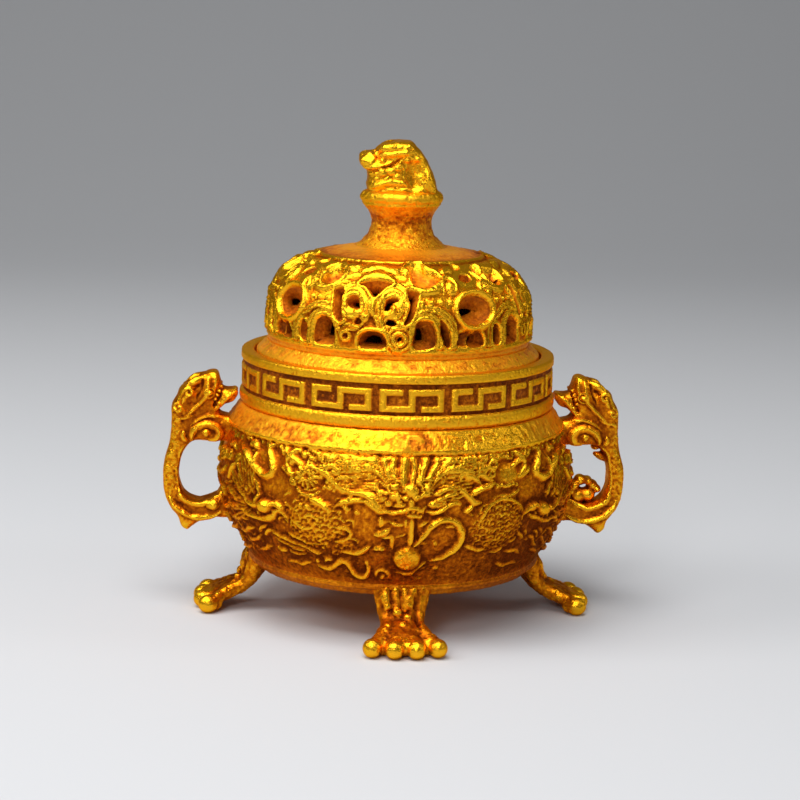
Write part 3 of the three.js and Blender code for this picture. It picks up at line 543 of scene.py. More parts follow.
RIGHT = [  # the curling tail, claw and ribbons to the right of it
    (1.6, 1.2, (1.6, 22.2), (2.6, 23.2), (4, 24.8), (5.4, 26.6), (7.2, 27.7), (9, 27.5),
     (10.5, 26.4), (11.3, 24.7), (11.2, 22.8), (10, 21), (8.5, 19.8), (7, 19), (5.4, 18.6)),
    (0.9, 0.8, (7.8, 26), (8.8, 26.3), (9.6, 25.9)),
    (0.8, 0.6, (5.6, 23), (6.2, 22.4)),
    (1.0, 0.8, (-2, 16), (-0.4, 15.7), (1, 15.8), (2.2, 16.7), (3.4, 17.8), (4.6, 18.5)),
    (1.5, 1.3, (10, 34.2), (11.2, 33.3), (12.5, 31.9), (13.4, 30.9), (15, 30.3)),
    (1.5, 1.3, (12.6, 32.4), (14.4, 33.1), (16.2, 33.7), (18.8, 34.2)),
    (1.0, 1.0, (11.4, 29.2), (12.4, 29.4), (13.4, 30.3)),
    (1.0, 0.9, (15.4, 36.2), (17.2, 35.2), (18.6, 34.6)),
    (1.1, 0.9, (10.4, 36.2), (12.4, 35.9), (14.4, 35.3), (15.4, 34.3)),
    (0.9, 0.8, (18.9, 19.8), (20.6, 20), (22.4, 20.7)),
    (1.2, 0.9, (12.4, 21.6), (13.6, 21.2), (15.4, 20.6), (17.4, 20.6)),
    (0.9, 0.7, (23.4, 21.2), (24.6, 21.5), (25.8, 22.1)),
    (1.0, 0.7, (24, 18.9), (27, 18.9), (29.6, 18)),
    (0.8, 0.5, (6.4, 17), (7.6, 17.1)),
    (1.3, 1.1, (26.2, 27), (27.2, 27.8), (28.6, 28), (30, 28.1)),
    (1.0, 1.0, (27.6, 27.2), (28.6, 26.2), (30, 25.9), (31.6, 25.4), (33, 24.6), (35, 24.6)),
    (1.0, 0.8, (26, 23), (27.2, 22.2), (28.4, 21.4)),
    (1.0, 0.9, (30.4, 21.6), (32, 20.8), (33.6, 19.4), (35.4, 18.8)),
]
PAIRED = [
    # mane swept back from the mask
    (1.3, 1.2, (4.3, 34.2), (6, 36.2), (8, 37.4), (10.6, 37.9)),
    (1.2, 1.1, (4.8, 35.8), (6.6, 37.9), (8.2, 38.9), (9.8, 39.3)),
    (1.1, 1.0, (3.8, 33.4), (6, 34.9), (8.2, 36.1), (10.4, 36.4)),
    (1.0, 1.0, (4.6, 32.8), (6.4, 33.3), (8, 34.1), (9.8, 34.3)),
    (1.0, 1.0, (5.4, 31.6), (6.8, 32.1), (8.4, 32.8), (10.2, 33)),
    (0.9, 0.9, (5.4, 30.4), (6.6, 30.9), (7.6, 31.6)),
    (1.1, 1.2, (3.8, 29.3), (5.4, 29.2), (6.6, 29.8), (8, 30.7), (9.8, 31.5)),
    (1.0, 1.0, (7.2, 36.6), (9.4, 37.1), (11.6, 37), (13.6, 36.6)),
    (1.0, 0.9, (13.8, 36.7), (16, 37.3), (18, 37), (19.8, 37.6)),
    (1.0, 0.9, (10.2, 38.6), (11.4, 38), (12.8, 38)),
    # claw
    (1.4, 1.2, (24.2, 40.4), (25.4, 39.4), (26.6, 38.2), (26.8, 36.8)),
    (1.1, 1.1, (26.4, 38.2), (25, 37.8), (23.2, 36.9)),
    (1.1, 1.1, (27.2, 37.2), (26.4, 36.2), (25.2, 35), (24.6, 35.4)),
    (1.1, 1.0, (27, 38.4), (27.8, 39.6), (28.2, 41)),
    (1.0, 1.0, (27.8, 38.2), (29, 39.4), (30.4, 40.3)),
    (0.9, 1.0, (25.4, 34.7), (27, 35.3), (28.4, 36.3)),
    # ribbon like a U, and its far end
    (1.8, 1.3, (33.2, 40.6), (32.4, 38.6), (31.4, 37), (30.4, 35.3), (31, 34.2), (33, 33.6),
     (35.4, 34.3), (37.8, 35.8), (40, 37.2), (43, 38.2)),
    (1.0, 0.9, (32.6, 38.8), (31.2, 40), (29.8, 40.6)),
    (1.4, 1.1, (36.4, 38.4), (38.2, 39), (39.4, 38.4)),
    (1.6, 1.2, (43.6, 34), (45, 32.6), (46.2, 31), (47.4, 30.6)),
    (1.2, 1.0, (45, 36.6), (47, 37.4), (49.4, 37)),
    # side dragon: jaws, brow and whiskers
    (1.6, 1.2, (26.8, 27.7), (28.6, 28.4), (30.6, 28.3)),
    (1.5, 1.1, (33.4, 27.7), (35.4, 27.2), (37.2, 27.7), (38.4, 29.3)),
    (1.2, 1.0, (28.4, 26.8), (30, 26), (32, 25.3), (34, 24.6), (36.2, 24.9), (38.6, 24.9),
     (40, 26.4)),
    (1.0, 0.9, (35.6, 29.2), (36.8, 30.6), (38.2, 31.8)),
    (1.0, 0.9, (34, 29.6), (34.6, 31.2), (36, 32.6)),
    (1.1, 1.0, (37.6, 28.6), (39.4, 29), (41, 30.4), (41.6, 31.8)),
    (1.0, 0.8, (38.2, 32.8), (39.2, 33.8), (40.6, 33.6)),
    # body scales and fins to the side
    (1.2, 1.0, (40, 27.4), (42.6, 27.6), (45, 28.6), (47, 28.2)),
    (1.1, 0.9, (39.6, 25.6), (42, 25.7), (44.4, 25), (46.8, 25.6)),
    (1.1, 0.9, (38.6, 23.6), (40.8, 23.6), (43, 22.8), (45.4, 23.2)),
    (1.1, 0.9, (37.4, 22.2), (39.4, 21.6), (41.6, 20.4), (44, 20.6)),
    (1.0, 0.8, (35.8, 20.6), (37.6, 19.6), (39.8, 18.6), (42, 18.4)),
    (1.0, 0.8, (33.8, 18.2), (36, 17.4), (38.4, 16.8)),
    (0.9, 0.8, (33, 23), (34.6, 22.4), (35.6, 21.4)),
    (0.9, 0.8, (31.8, 22.4), (33.2, 21.8), (34.2, 20.6)),
    # towards the handles: clouds on their stems
    (1.2, 0.9, (47.2, 25.4), (49.4, 24), (51.8, 23.8), (54, 25), (55.4, 26.4)),
    (1.2, 0.9, (46.4, 20.6), (48.8, 19.6), (51.4, 19.2), (54, 18.2)),
    (1.3, 1.0, (48.6, 32.4), (50.6, 31), (53, 30.8), (55, 32)),
    (1.1, 0.9, (43.6, 16.4), (46, 15.8), (48.8, 15.6), (51.6, 15)),
    (1.0, 0.8, (44, 30.4), (46, 29.6), (48.6, 29.4)),
    (0.9, 0.7, (22.6, 16.6), (25, 16), (27.4, 16.2), (29.8, 15.6)),
]
CURLS = [  # middle, radius, start angle, turns, for both sides
    (9.4, 39.7, 1.0, 200, -1.2), (12.9, 39.4, 1.35, 150, -1.4), (16.2, 39.5, 1.1, 20, 1.2),
    (19, 39.2, 1.2, 200, -1.2), (11.2, 37.2, 0.9, 90, 1.1), (15, 37.9, 1.0, 300, -1.1),
    (18.2, 36.1, 1.0, 60, 1.1), (21.2, 37.6, 1.1, 150, -1.2), (21.6, 40.1, 0.8, 0, 1.0),
    (24.6, 33.6, 0.9, 90, -1.1), (50, 27.4, 1.6, 60, -1.5), (53.4, 34.4, 1.7, 200, 1.5),
    (50.4, 34.8, 1.3, 0, -1.3), (51.4, 21.6, 1.5, 120, 1.4), (47.6, 34.8, 1.2, 40, 1.3),
    (55.6, 28.6, 1.5, 240, -1.4), (55.6, 21.4, 1.3, 300, 1.3), (47, 17.8, 1.1, 30, 1.2),
    (40.6, 40, 0.9, 120, -1.1), (42.8, 35.8, 0.9, 200, 1.1),
]
LEAVES = [  # long leaves low on the left
    (1.0, 0.9, (-31.4, 22.2), (-27.4, 21.2), (-23.2, 20.5), (-19.6, 19.4)),
    (0.9, 0.8, (-30.6, 20.8), (-27.2, 20.1), (-24, 19.6)),
    (0.9, 0.8, (-26.4, 22.6), (-23.4, 22), (-20.8, 20.9)),
    (0.8, 0.7, (-27.6, 18.6), (-25, 18.2), (-22.6, 18.4)),
    (0.9, 0.8, (-23.8, 25.4), (-21.8, 24.6), (-19.6, 24.9)),
    (0.8, 0.7, (-21.4, 26.8), (-19.8, 27.3), (-18.2, 26.9)),
]


SWELLINGS = [  # middle, half width and half height, rise, for both sides
    (20, 25.6, 7.6, 6.6, 0.7), (13.4, 38, 9.4, 3.8, 0.75), (32, 26.8, 6, 3.6, 0.6),
    (41, 25, 10, 8.5, 0.5), (38, 36.6, 6, 2.6, 0.35), (26.6, 37.6, 3, 3.2, 0.3),
    (51.5, 31, 6, 6, 0.4), (51, 22, 6, 4.5, 0.35), (22.5, 35.6, 3.6, 2.8, 0.6),
    (8, 31.5, 5, 4.4, 0.45),
]
MIDDLE = 0.3  # the relief's line of symmetry, a little to the right of the front


def carve(sheet):
    """The dragons in the clouds, drawn over the front half of the belly."""
    rng = np.random.default_rng(5)
    for sign in (1, -1):
        for x, z, rx, rz, h in SWELLINGS:
            sheet.swelling(MIDDLE + sign * (x - MIDDLE), z, rx, rz, h)
    sheet.swelling(0.2, 32.2, 6.8, 5, 0.9)
    sheet.swelling(0, 37.4, 7, 4.6, 0.5)
    sheet.swelling(0.2, 19.6, 5.2, 4.4, 0.5)
    for w, h, *points in FLAMES:
        sheet.rope(w, h * 1.1, *points, ends=(0.8, 0.12))
    sheet.ropes(MASK + LEFT + RIGHT + LEAVES + PAIRED)
    sheet.ropes([(w, h, *[(2 * MIDDLE - x, z) for x, z in points]) for w, h, *points in PAIRED])
    for sign in (1, -1):
        draw_side(sheet, rng, sign)
    draw_odd_lines(sheet, rng)
    draw_face(sheet)


def on_patch(x, z):
    """Whether a place is on the smooth patch to the right of the mask."""
    return 19 < x < 25 and 33 < z < 38.4


def draw_side(sheet, rng, sign):
    """One side's curls, cloud, dragon and hair; sign is 1 on the right and -1 on the left."""

    grains, locks, hairs, spines = (20 if sign > 0 else 110), 74, 17, 22
    cloud_x, cloud_z = 20, 25.2
    head_x, head_z = 34.2, 27.8

    def place(x, z):
        return MIDDLE + sign * (x - MIDDLE), z

    for x, z, r, start, turns in CURLS:
        if sign > 0 and on_patch(x, z):
            continue
        angle = start if sign > 0 else 180 - start
        sheet.curl(*place(x, z), r, angle, sign * turns, 0.75, 1.0)
    # the cloud: rows of small overlapping lobes
    for row in range(9):
        for k in range(11):
            x = 12 + 1.75 * k + 0.87 * (row % 2) + rng.uniform(-0.3, 0.3)
            z = 19.2 + 1.4 * row + rng.uniform(-0.25, 0.25)
            edge = 1 if sign > 0 else 1.1 + 0.3 * math.sin(0.9 * x + 1.3 * z)
            if math.hypot((x - cloud_x) / 6.6, (z - cloud_z) / 5.8) > edge:
                continue
            r = rng.uniform(0.75, 1.1) * (1 if sign > 0 else 1.2)
            a = np.radians(np.linspace(-20, 200, 6) + rng.uniform(-25, 25))
            arc = [place(x + r * math.cos(t), z + 0.85 * r * math.sin(t)) for t in a]
            sheet.rope(0.5, rng.uniform(0.35, 0.55), *arc)
            sheet.boss(*place(x, z - 0.1), 0.4, 0.35, 0.4)
    rim = [(14.4, 25.2), (15.6, 27.8), (17.4, 29.9), (20, 30.9), (22.6, 30.4), (25, 29.1),
           (26.2, 27.2), (26, 25.6)]
    if sign > 0:
        sheet.rope(0.8, 0.75, *[place(x, z) for x, z in rim])
    for k in range(grains):
        x, z = rng.uniform(2.5, 26), rng.uniform(31.5, 40.2)
        if z > 31 + 0.12 * x and not (19 < x < 25 and z < 38.6):
            r = rng.uniform(0.4, 0.8)
            sheet.boss(*place(x, z), r, r * 0.9, rng.uniform(0.7, 1.15))
    # the side dragons' noses, eyes and teeth
    sheet.boss(*place(31.7, 27.6), 2.0, 1.45, 2.3)
    sheet.boss(*place(37.5, 30), 0.75, 0.75, 1.2)
    sheet.ring(*place(37.5, 30), 1.1, 0.5, 0.9)
    for k in range(4):
        sheet.boss(*place(29.4 + 1.5 * k, 26.9 - 0.35 * k), 0.35, 0.5, 0.8)
    for k in range(11):
        t = k / 10
        sheet.rope(rng.uniform(0.5, 0.7), rng.uniform(0.75, 1.0),
                   place(4.7 + 0.6 * math.sin(3 * t), 30.8 + 8.4 * t),
                   place(7.4, 31.6 + 7.9 * t + 0.4 * math.sin(9 * t)),
                   place(10.6 + t, 32.4 + 6.9 * t), place(13.4 + 3 * t, 33 + 6.1 * t))
    # a fleece of short locks behind the mask's brows, up to the shoulder
    for k in range(locks):
        x, z = rng.uniform(6.5, 22), rng.uniform(35.6, 40.4)
        if z < 34.6 + 0.11 * x or (x > 19 and z < 38.5):
            continue
        lean = math.radians(rng.uniform(20, 120))
        step = rng.uniform(0.5, 0.85)
        bend = rng.uniform(-0.7, 0.7)
        lock = [place(x - step * math.cos(lean), z - step * math.sin(lean)),
                place(x + bend * 0.5 * math.sin(lean), z - bend * 0.5 * math.cos(lean)),
                place(x + step * math.cos(lean), z + step * math.sin(lean))]
        sheet.rope(rng.uniform(0.55, 0.85), rng.uniform(0.7, 1.1), *lock)
    # ranks of short scales along the side dragons
    for row in range(6):
        for k in range(9):
            x = 38.6 + 1.5 * k + 0.7 * (row % 2)
            z = 17.2 + 1.9 * row + 0.3 * k
            a = np.linspace(math.pi * 1.1, math.pi * 1.9, 5)
            arc = [place(x + 0.7 * math.cos(t), z + 0.7 * math.sin(t)) for t in a]
            sheet.rope(0.45, 0.5, *arc)
    # long hair blown back from the side dragons' heads
    for k in range(hairs):
        a = math.radians(72 - 7.2 * k)
        inner, outer = rng.uniform(3, 4.4), rng.uniform(9.5, 14.5)
        wave = rng.uniform(-0.9, 0.9)
        strand = []
        for t in (0, 0.35, 0.7, 1):
            r = inner + (outer - inner) * t
            b = a + 0.16 * t + 0.05 * wave * math.sin(5 * t)
            strand.append(place(head_x + r * math.cos(b), head_z + 0.82 * r * math.sin(b)))
        sheet.rope(rng.uniform(0.6, 0.95), rng.uniform(0.7, 1.05), *strand)
    # spines and stray locks under the shoulder
    for k in range(spines):
        x = 6.6 + 2.2 * k + rng.uniform(-0.5, 0.5)
        lean = rng.uniform(-0.4, 0.9)
        sheet.rope(0.6, 0.75, place(x, rng.uniform(38.6, 39.4)), place(x + lean, 40.6))


def draw_odd_lines(sheet, rng):
    """What stands on one side only, and grains on the plainer ground."""
    # left of the mask a rosette over its cloud, and a smile of two strokes
    x, z, petals = -21, 35, 13
    sheet.ring(x, z, 0.9, 0.6, 0.9)
    for a in np.arange(petals) * TAU / petals:
        c, q = math.cos(a), math.sin(a)
        sheet.rope(0.62, 0.95, (x + 1.1 * c, z + 1.0 * q), (x + 2.7 * c, z + 2.4 * q))
    sheet.rope(0.8, 0.8, (-18, 32.5), (-19.6, 31.6), (-21.8, 31.6), (-23.4, 32.6))
    sheet.rope(0.6, 0.6, (-18.8, 33), (-20.2, 32.4), (-22, 32.5))
    # right of it a smooth patch between a row of beads and the rim of the mane
    for k in range(6):
        sheet.boss(19.2 + 1.0 * k, 33.5 + 0.12 * math.sin(2.0 * k), 0.5, 0.45, 0.85)
    sheet.rope(0.8, 0.8, (19.6, 38.7), (21.8, 39), (24.2, 38.4))
    sheet.rope(0.7, 0.6, (18.4, 31.8), (20.6, 31.4), (23, 31.6), (24.8, 32.4))
    # odd tendrils and grains on the plainer ground
    for k in range(130):
        x, z = rng.uniform(-57, 57), rng.uniform(14, 39.5)
        by_whiskers = 6 < abs(x) < 13 and 21 < z < 28
        by_jaws = 26 < abs(x) < 31 and 29 < z < 33
        if by_whiskers or by_jaws or on_patch(x, z) or (z < 18 and x > 4):
            continue
        a = rng.uniform(-0.9, 0.9)
        n = rng.uniform(0.4, 1.3)
        sheet.rope(rng.uniform(0.4, 0.6), rng.uniform(0.25, 0.5),
                   (x - n * math.cos(a), z - n * math.sin(a)), (x, z + rng.uniform(-0.3, 0.3)),
                   (x + n * math.cos(a), z + n * math.sin(a)))


def draw_face(sheet):
    """The mask's eyes, nose and teeth, and the pearl under it."""
    for sign in (1, -1):
        eye = MIDDLE + sign * 3.3, 34.0
        sheet.boss(*eye, 0.8, 0.7, 1.7)
        sheet.ring(*eye, 1.15, 0.5, 1.1, squash=0.85)
        sheet.boss(MIDDLE + sign * 1.0, 32.3, 0.75, 0.6, 1.6)
        sheet.boss(MIDDLE + sign * 4.6, 30.9, 0.9, 0.8, 1.1)
        brow = (1.6, 35.2), (3.2, 35.7), (5, 35.4)
        sheet.rope(0.8, 1.2, *[(MIDDLE + sign * x, z) for x, z in brow])
        for k in range(3):
            sheet.boss(MIDDLE + sign * (0.6 + 1.1 * k), 29.5 - 0.15 * k, 0.32, 0.45, 1.0)
    sheet.boss(0.5, 33.5, 1.6, 1.3, 1.7)
    sheet.boss(MIDDLE, 19.4, 3.0, 2.8, 1.5)
    sheet.curl(MIDDLE, 19.5, 1.9, 60, 1.4, 0.6, 1.72)
    for x, z in ((-1.6, 18.4), (-0.4, 17.7), (1.1, 17.9), (2.2, 18.9), (2.3, 20.3), (-1.9, 20)):
        sheet.boss(x, z, 0.45, 0.4, 1.3)
    sheet.groove(0.9, 0.5, (1.7, 23.6), (1.6, 25.4), (1.6, 27.6))
    sheet.groove(1.2, 0.35, (-4.6, 23), (-3.4, 22.4), (-2.8, 21.4))


def bowl_profile():
    """Points up the bowl's outside and over its shoulder, closest where it is worked."""
    outside = bowl_outside()
    lip = EDGE - SHOULDER_LIP
    shoulder = [outside[-1], (SHOULDER_R - 0.15, lip - 0.1), (SHOULDER_R, lip + 0.2),
                (SHOULDER_R, EDGE - 0.15), (SHOULDER_R - 0.12, EDGE)]
    rim = [shoulder[-1], (COLLAR_R, RIM), (COLLAR_R - 1.2, RIM)]
    return joined((outside[:6], 0.5), (outside[5:], 0.31), (shoulder, 0.35), (rim, 0.42))


def bowl_relief(profile, p, on_belly, on_shoulder):
    """How far the relief stands out, for each point of the bowl's outside."""
    rows, columns = p.shape[:2]
    half = columns // 2
    front = np.arange(half) - half // 2
    angle = TAU * front / columns
    across, up = (v.ravel() for v in np.broadcast_arrays(angle * BELLY_R, profile[:, 1:]))
    # hand-cut lines are never quite true: the sheet is drawn a little out of shape
    spot = p[:, front].reshape(-1, 3)
    calm = 1 - smooth(50, 57, np.abs(across))
    bent = across + calm * (0.3 * grain(spot, 3.4, 1.7) + 0.16 * grain(spot, 1.3, 4.4))
    high = up + calm * (0.26 * grain(spot, 3.1, 6.1) + 0.16 * grain(spot, 1.2, 8.8))
    sheet = Relief(bent, high, period=HALF_ROUND)
    carve(sheet)
    sheet.lines *= 0.92 + 0.22 * grain(spot, 2.4, 2.9) + 0.1 * grain(spot, 0.8, 5.2)
    height = sheet.height()
    height += (0.08 * grain(spot, 0.55) + 0.07 * grain(spot, 1.05, 3.3)) * (height > 0.25)
    height = height.reshape(rows, half)
    crest = height * (np.abs(across.reshape(rows, half)) < 5) * on_shoulder
    low_edge = 1 - 0.3 * smooth(39.4, 40.6, profile[:, 1:])
    height = np.clip(height, -0.5, 2.3) * on_belly * 0.96 * low_edge + crest * 0.8
    return np.roll(np.tile(height, 2), -(half // 2), axis=1).ravel()


def bowl_inside(columns):
    """The bowl's inner side from the rim down: its points, and how many rows they make."""
    floor, throat = UNDERSIDE + FLOOR, RIM - 2.8
    wall = []
    for z in np.linspace(throat, floor + 2.2, 34):
        r = bowl_radius(z) - WALL
        wall.append((r if z < RIM - 9 else min(r, MOUTH_R + 2.4), z))
    bottom = wall[-1][0]
    inner = np.array([
        (MOUTH_R + 1.0, RIM), (MOUTH_R + 0.2, RIM), (MOUTH_R, RIM - 0.25), (MOUTH_R, throat), *wall,
        (bottom - 0.5, floor + 1.1), (bottom - 1.6, floor + 0.35), (bottom - 3.2, floor + 0.02),
        (bottom - 9, floor), (12.0, floor), (3.0, floor)])
    q = turned(inner, columns).reshape(-1, 3)
    # the handle screws' heads sit in shallow pockets
    for sign in (1, -1):
        for z in (RIM - 22.9, RIM - 6.1):
            d = np.hypot(q[:, 1], q[:, 2] - z)
            m = (d < 2.3) & (np.sign(q[:, 0]) == sign) & (np.abs(q[:, 0]) > 20)
            q[m, 0] += sign * 0.95 * (1 - smooth(1.75, 2.25, d[m]))
    return q, len(inner)


def build_bowl():
    columns, few = 640, 320  # outside and inside
    profile = bowl_profile()
    rows = len(profile)
    p = turned(profile, columns)
    z = profile[:, 1:]
    on_belly = smooth(13.3, 14.4, z) * (1 - smooth(40.2, 40.7, z))
    on_shoulder = smooth(EDGE - 0.3, EDGE + 0.4, z) * (1 - smooth(43.6, 44.4, z))
    height = bowl_relief(profile, p, on_belly, on_shoulder)
    # granular ground where nothing stands out, and pits on the shoulder
    ground = 1 - smooth(0.05, 0.5, height)
    ground *= np.where(np.repeat((on_belly > 0.5).ravel(), columns), 1, 0.8)
    pitted = np.repeat(on_shoulder.ravel(), columns)
    p = p.reshape(-1, 3)
    sand = 0.07 * grain(p, 0.5) + 0.09 * grain(p, 1.1, 3.1) + 0.05 * grain(p, 2.2, 7.1)
    sand *= 1 + 0.9 * pitted
    sand -= 0.22 * pitted * smooth(0.15, 0.5, grain(p, 0.75, 12.3))
    out = turned(profile_normals(profile), columns).reshape(-1, 3)
    p = p + out * (height + ground * sand)[:, None]
    q, inner_rows = bowl_inside(few)
    verts = np.vstack([p, [[0, 0, UNDERSIDE]], q, [[0, 0, UNDERSIDE + FLOOR]]])
    first = len(p) + 1
    # the rim: two outer points to each inner one
    j = np.arange(few)
    top = (rows - 1) * columns
    o0, o1, o2 = top + 2 * j, top + 2 * j + 1, top + (2 * j + 2) % columns
    i0, i1 = first + j, first + (j + 1) % few
    rim = [np.stack(corners, 1) for corners in ((o0, o1, i0), (o1, i1, i0), (o1, o2, i1))]
    last = first + (inner_rows - 1) * few
    faces = [grid_faces(rows, columns), fan(np.arange(columns), len(p), False),
             grid_faces(inner_rows, few, first), np.concatenate(rim),
             fan(last + np.arange(few), first + len(q), True)]
    # where it is dull and sooty, and where its colour is painted lighter or darker
    x, z = verts[:, 0], verts[:, 2]
    front = np.exp(-((x - 1) / 5.5) ** 2)
    # dull and sooty: a little at the foot ring, over the shoulder's front and towards both sides, and
    # all over the inner side
    inside = (0.2 * (1 - smooth(12.6, 13.7, z))
              + 0.5 * smooth(41, 41.6, z) * (smooth(6, 28, -x) + 0.7 * smooth(20, 34, x)
                                             + 0.9 * front))
    inside[first + 3 * few:] = 1
    stain = smooth(0.05, 0.4, grain(verts, 1.5, 6.6)) + 0.6 * smooth(0.1, 0.4, grain(verts, 0.7, 1.2))
    # painted light high on the belly; painted shade low on it and on its lower right; darker towards
    # both sides and at the foot ring; on the shoulder lighter as a whole and to the right, darker at
    # the front, to the left and with stains
    wear_and_painted_light = (0.13 * smooth(29, 36, z) - 0.22 * (1 - smooth(16, 29, z))
            - 0.1 * smooth(20, 33, np.abs(x)) * (1 - smooth(39, 41, z))
            - 0.15 * smooth(8, 24, x) * (1 - smooth(26, 36, z))
            - 0.3 * (1 - smooth(12.4, 13.3, z))
            + smooth(40.4, 41.2, z) * (0.1 - 0.1 * stain - 0.26 * front
                                       - 0.12 * smooth(10, 22, -x) + 0.1 * smooth(6, 16, x)))
    make("bowl_cast", verts, faces, "burner", "bowl", relief_brass, rough=0.02, crease=0.28,
         inside=inside, wear_and_painted_light=wear_and_painted_light)


build_bowl()


# The collar and its fret
KEYS, KEY_WIDTH, KEY_HEIGHT, KEY_BAR, KEY_TURN = 14, 12.7, 4.5, 1.15, math.radians(1)
BAND_LOW, BAND_HIGH, BAND_R = 47.8, 54.0, 32.3
FRET_MIDDLE = (BAND_LOW + BAND_HIGH) / 2 - 0.15


def build_collar():
    columns = 700
    outer = [(COLLAR_R - 0.5, RIM), (COLLAR_R, 45.25), (33.22, 45.6), (33.3, 46.1), (33.3, 46.9),
             (33.2, 47.3), (32.95, 47.65), (BAND_R, BAND_LOW)]
    band = [(BAND_R, BAND_LOW), (BAND_R, BAND_HIGH)]
    lip = [(BAND_R, BAND_HIGH), (32.85, 54.1), (COLLAR_R, 54.3), (COLLAR_R, 55.4), (32.9, 55.75),
           (32.6, LIP), (30.7, LIP), (30.4, 55.8), (MOUTH_R, 55.55), (MOUTH_R, LEDGE),
           (LEDGE_R + 0.2, LEDGE), (LEDGE_R, LEDGE - 0.2), (LEDGE_R, 52.6), (28.9, 51.2),
           (28.9, 43.0), (30.0, 43.0), (30.0, RIM - 0.1), (30.4, RIM)]
    profile = joined((outer, 0.3), (band, 0.27), (lip[:6], 0.35), (lip[5:], 1.6))
    rows = len(profile)
    p = turned(profile, columns).reshape(-1, 3)
    angle = np.tile(TAU * np.arange(columns) / columns, rows)
    z = np.repeat(profile[:, 1], columns)
    on_band = np.repeat((profile[:, 0] > BAND_R - 0.01) & (profile[:, 1] > BAND_LOW - 0.01)
                        & (profile[:, 1] < BAND_HIGH + 0.01), columns)
    pitch = TAU / KEYS
    local = (angle - KEY_TURN + pitch / 2) % pitch - pitch / 2
    at = np.stack([local * BAND_R, z - FRET_MIDDLE], 1)
    w, h = (KEY_WIDTH - KEY_BAR) / 2, (KEY_HEIGHT - KEY_BAR) / 2
    arm = w * 0.42
    path = np.array([[-arm, h], [-w, h], [-w, -h], [0, -h], [0, h], [w, h], [w, -h], [arm, -h]])
    # a fret's corners are square, so its distance is measured along the axes
    best = np.full(len(at), FAR)
    for a, b in zip(path[:-1], path[1:]):
        low, high = np.minimum(a, b), np.maximum(a, b)
        off = np.maximum(np.maximum(low - at, at - high), 0)
        best = np.minimum(best, off.max(1))
    rise = 0.62 * (1 - smooth(KEY_BAR / 2 - 0.16, KEY_BAR / 2 + 0.2, best))
    rise -= 0.1 * np.exp(-((best / 0.3) ** 2)) * (best < 0.5)
    inward = p * (1, 1, 0)
    inward /= np.linalg.norm(inward, axis=1)[:, None]
    uneven = 0.03 * grain(p, 0.6) + 0.05 * grain(p, 1.9, 5.1)
    move = np.where(on_band, rise + uneven + 0.05 * grain(p, 0.5, 2) * (rise < 0.2), 0)
    p = p + inward * move[:, None]
    sunk = on_band * (1 - smooth(0.1, 0.4, rise))
    make("collar_fret", p, [grid_faces(rows, columns, loop=True)], "burner", "neck_collar",
         plain_brass, rough=0.022, crease=0.2, inside=0.5 * sunk,
         wear_and_painted_light=0.08 + 0.1 * on_band - 0.38 * sunk
         - 0.3 * (1 - on_band) * smooth(0.1, 0.4, grain(p, 0.8, 4.6)))


build_collar()


# The lid
def build_flange():
    columns = 480
    r, skirt = MOUTH_R - 0.5, LEDGE_R - 0.5
    loop = [(skirt - 1.6, LEDGE - 2.4), (skirt, LEDGE - 2.4), (skirt, LEDGE), (r, LEDGE),
            (r, LEDGE + 1.2), (r - 0.12, LEDGE + 1.45), (r - 0.4, LEDGE + 1.7),
            (DOME_R + 1.0, 57.2), (DOME_R + 0.45, 57.6), (DOME_R + 0.3, 58.0),
            (DOME_R - DOME_WALL - 0.3, 58.0), (skirt - 1.6, 56.6), (skirt - 1.6, LEDGE - 2.4)]
    profile = resample(loop, 0.5)[:-1]
    p = turned(profile, columns).reshape(-1, 3)
    sand = 0.06 * grain(p, 0.8) + 0.05 * grain(p, 1.7, 3.7)
    p[:, 2] += 1.4 * sand * (p[:, 2] > LEDGE + 1)
    stain = smooth(-0.1, 0.35, grain(p, 1.3, 8.2))
    make("lid_rim", p, [grid_faces(len(profile), columns, loop=True)], "lid", "lid_flange",
         plain_brass, rough=0.03, inside=0.3 + 0.3 * stain, wear_and_painted_light=0.1 - 0.3 * stain)


build_flange()

QUARTER = TAU * DOME_R / 4  # of the dome's girth: its work is drawn four times
FOOT_LINE, CROWN_LINE = 59.6, 76.15  # raised lines below and above the work


# Openings of a quarter of the lid: outlines as (along from the quarter's middle, up)
LEAF_RIGHT = [(6.9, 75.2), (8.2, 74.6), (8.4, 73.4), (9.4, 72.5), (11.4, 72.2), (13.6, 72.7),
              (15.3, 73.6), (14.4, 74.6), (12.6, 75.1), (11.6, 75.8), (9.4, 76)]
LEAF_LEFT = [(-14.2, 73.4), (-13.2, 72.3), (-11.4, 72.1), (-9.6, 72.6), (-8.9, 73.4),
             (-8.8, 74.3), (-10.4, 74.6), (-12, 74.8), (-13.6, 74.3)]
LENS = [(-3.5, 72.4), (-1.8, 73.1), (0.2, 73.4), (2.2, 73.2), (4, 72.6), (2, 71.8), (1, 70.9),
        (0.2, 70.4), (-0.6, 71.2), (-1.6, 71.9)]
ROUND = [(18.3, 67.4), (18.6, 69), (20.1, 70.2), (22.5, 70.6), (24.7, 70.2), (26.1, 68.9),
         (26.2, 67.2), (25.1, 65.9), (23.3, 65.2), (21.5, 65), (19.6, 65.6)]
WEDGES = [
    [(-9.0, 71.2), (-6.9, 71.3), (-6.8, 69.2), (-6.4, 67), (-6, 65.7), (-7.2, 65.4),
     (-8.2, 66.8), (-8.5, 69)],
    [(7.2, 71.5), (9.6, 71.2), (9.1, 69), (8.5, 67), (7.6, 65.6), (6.5, 65.3), (7.3, 67),
     (7.8, 69)],
]
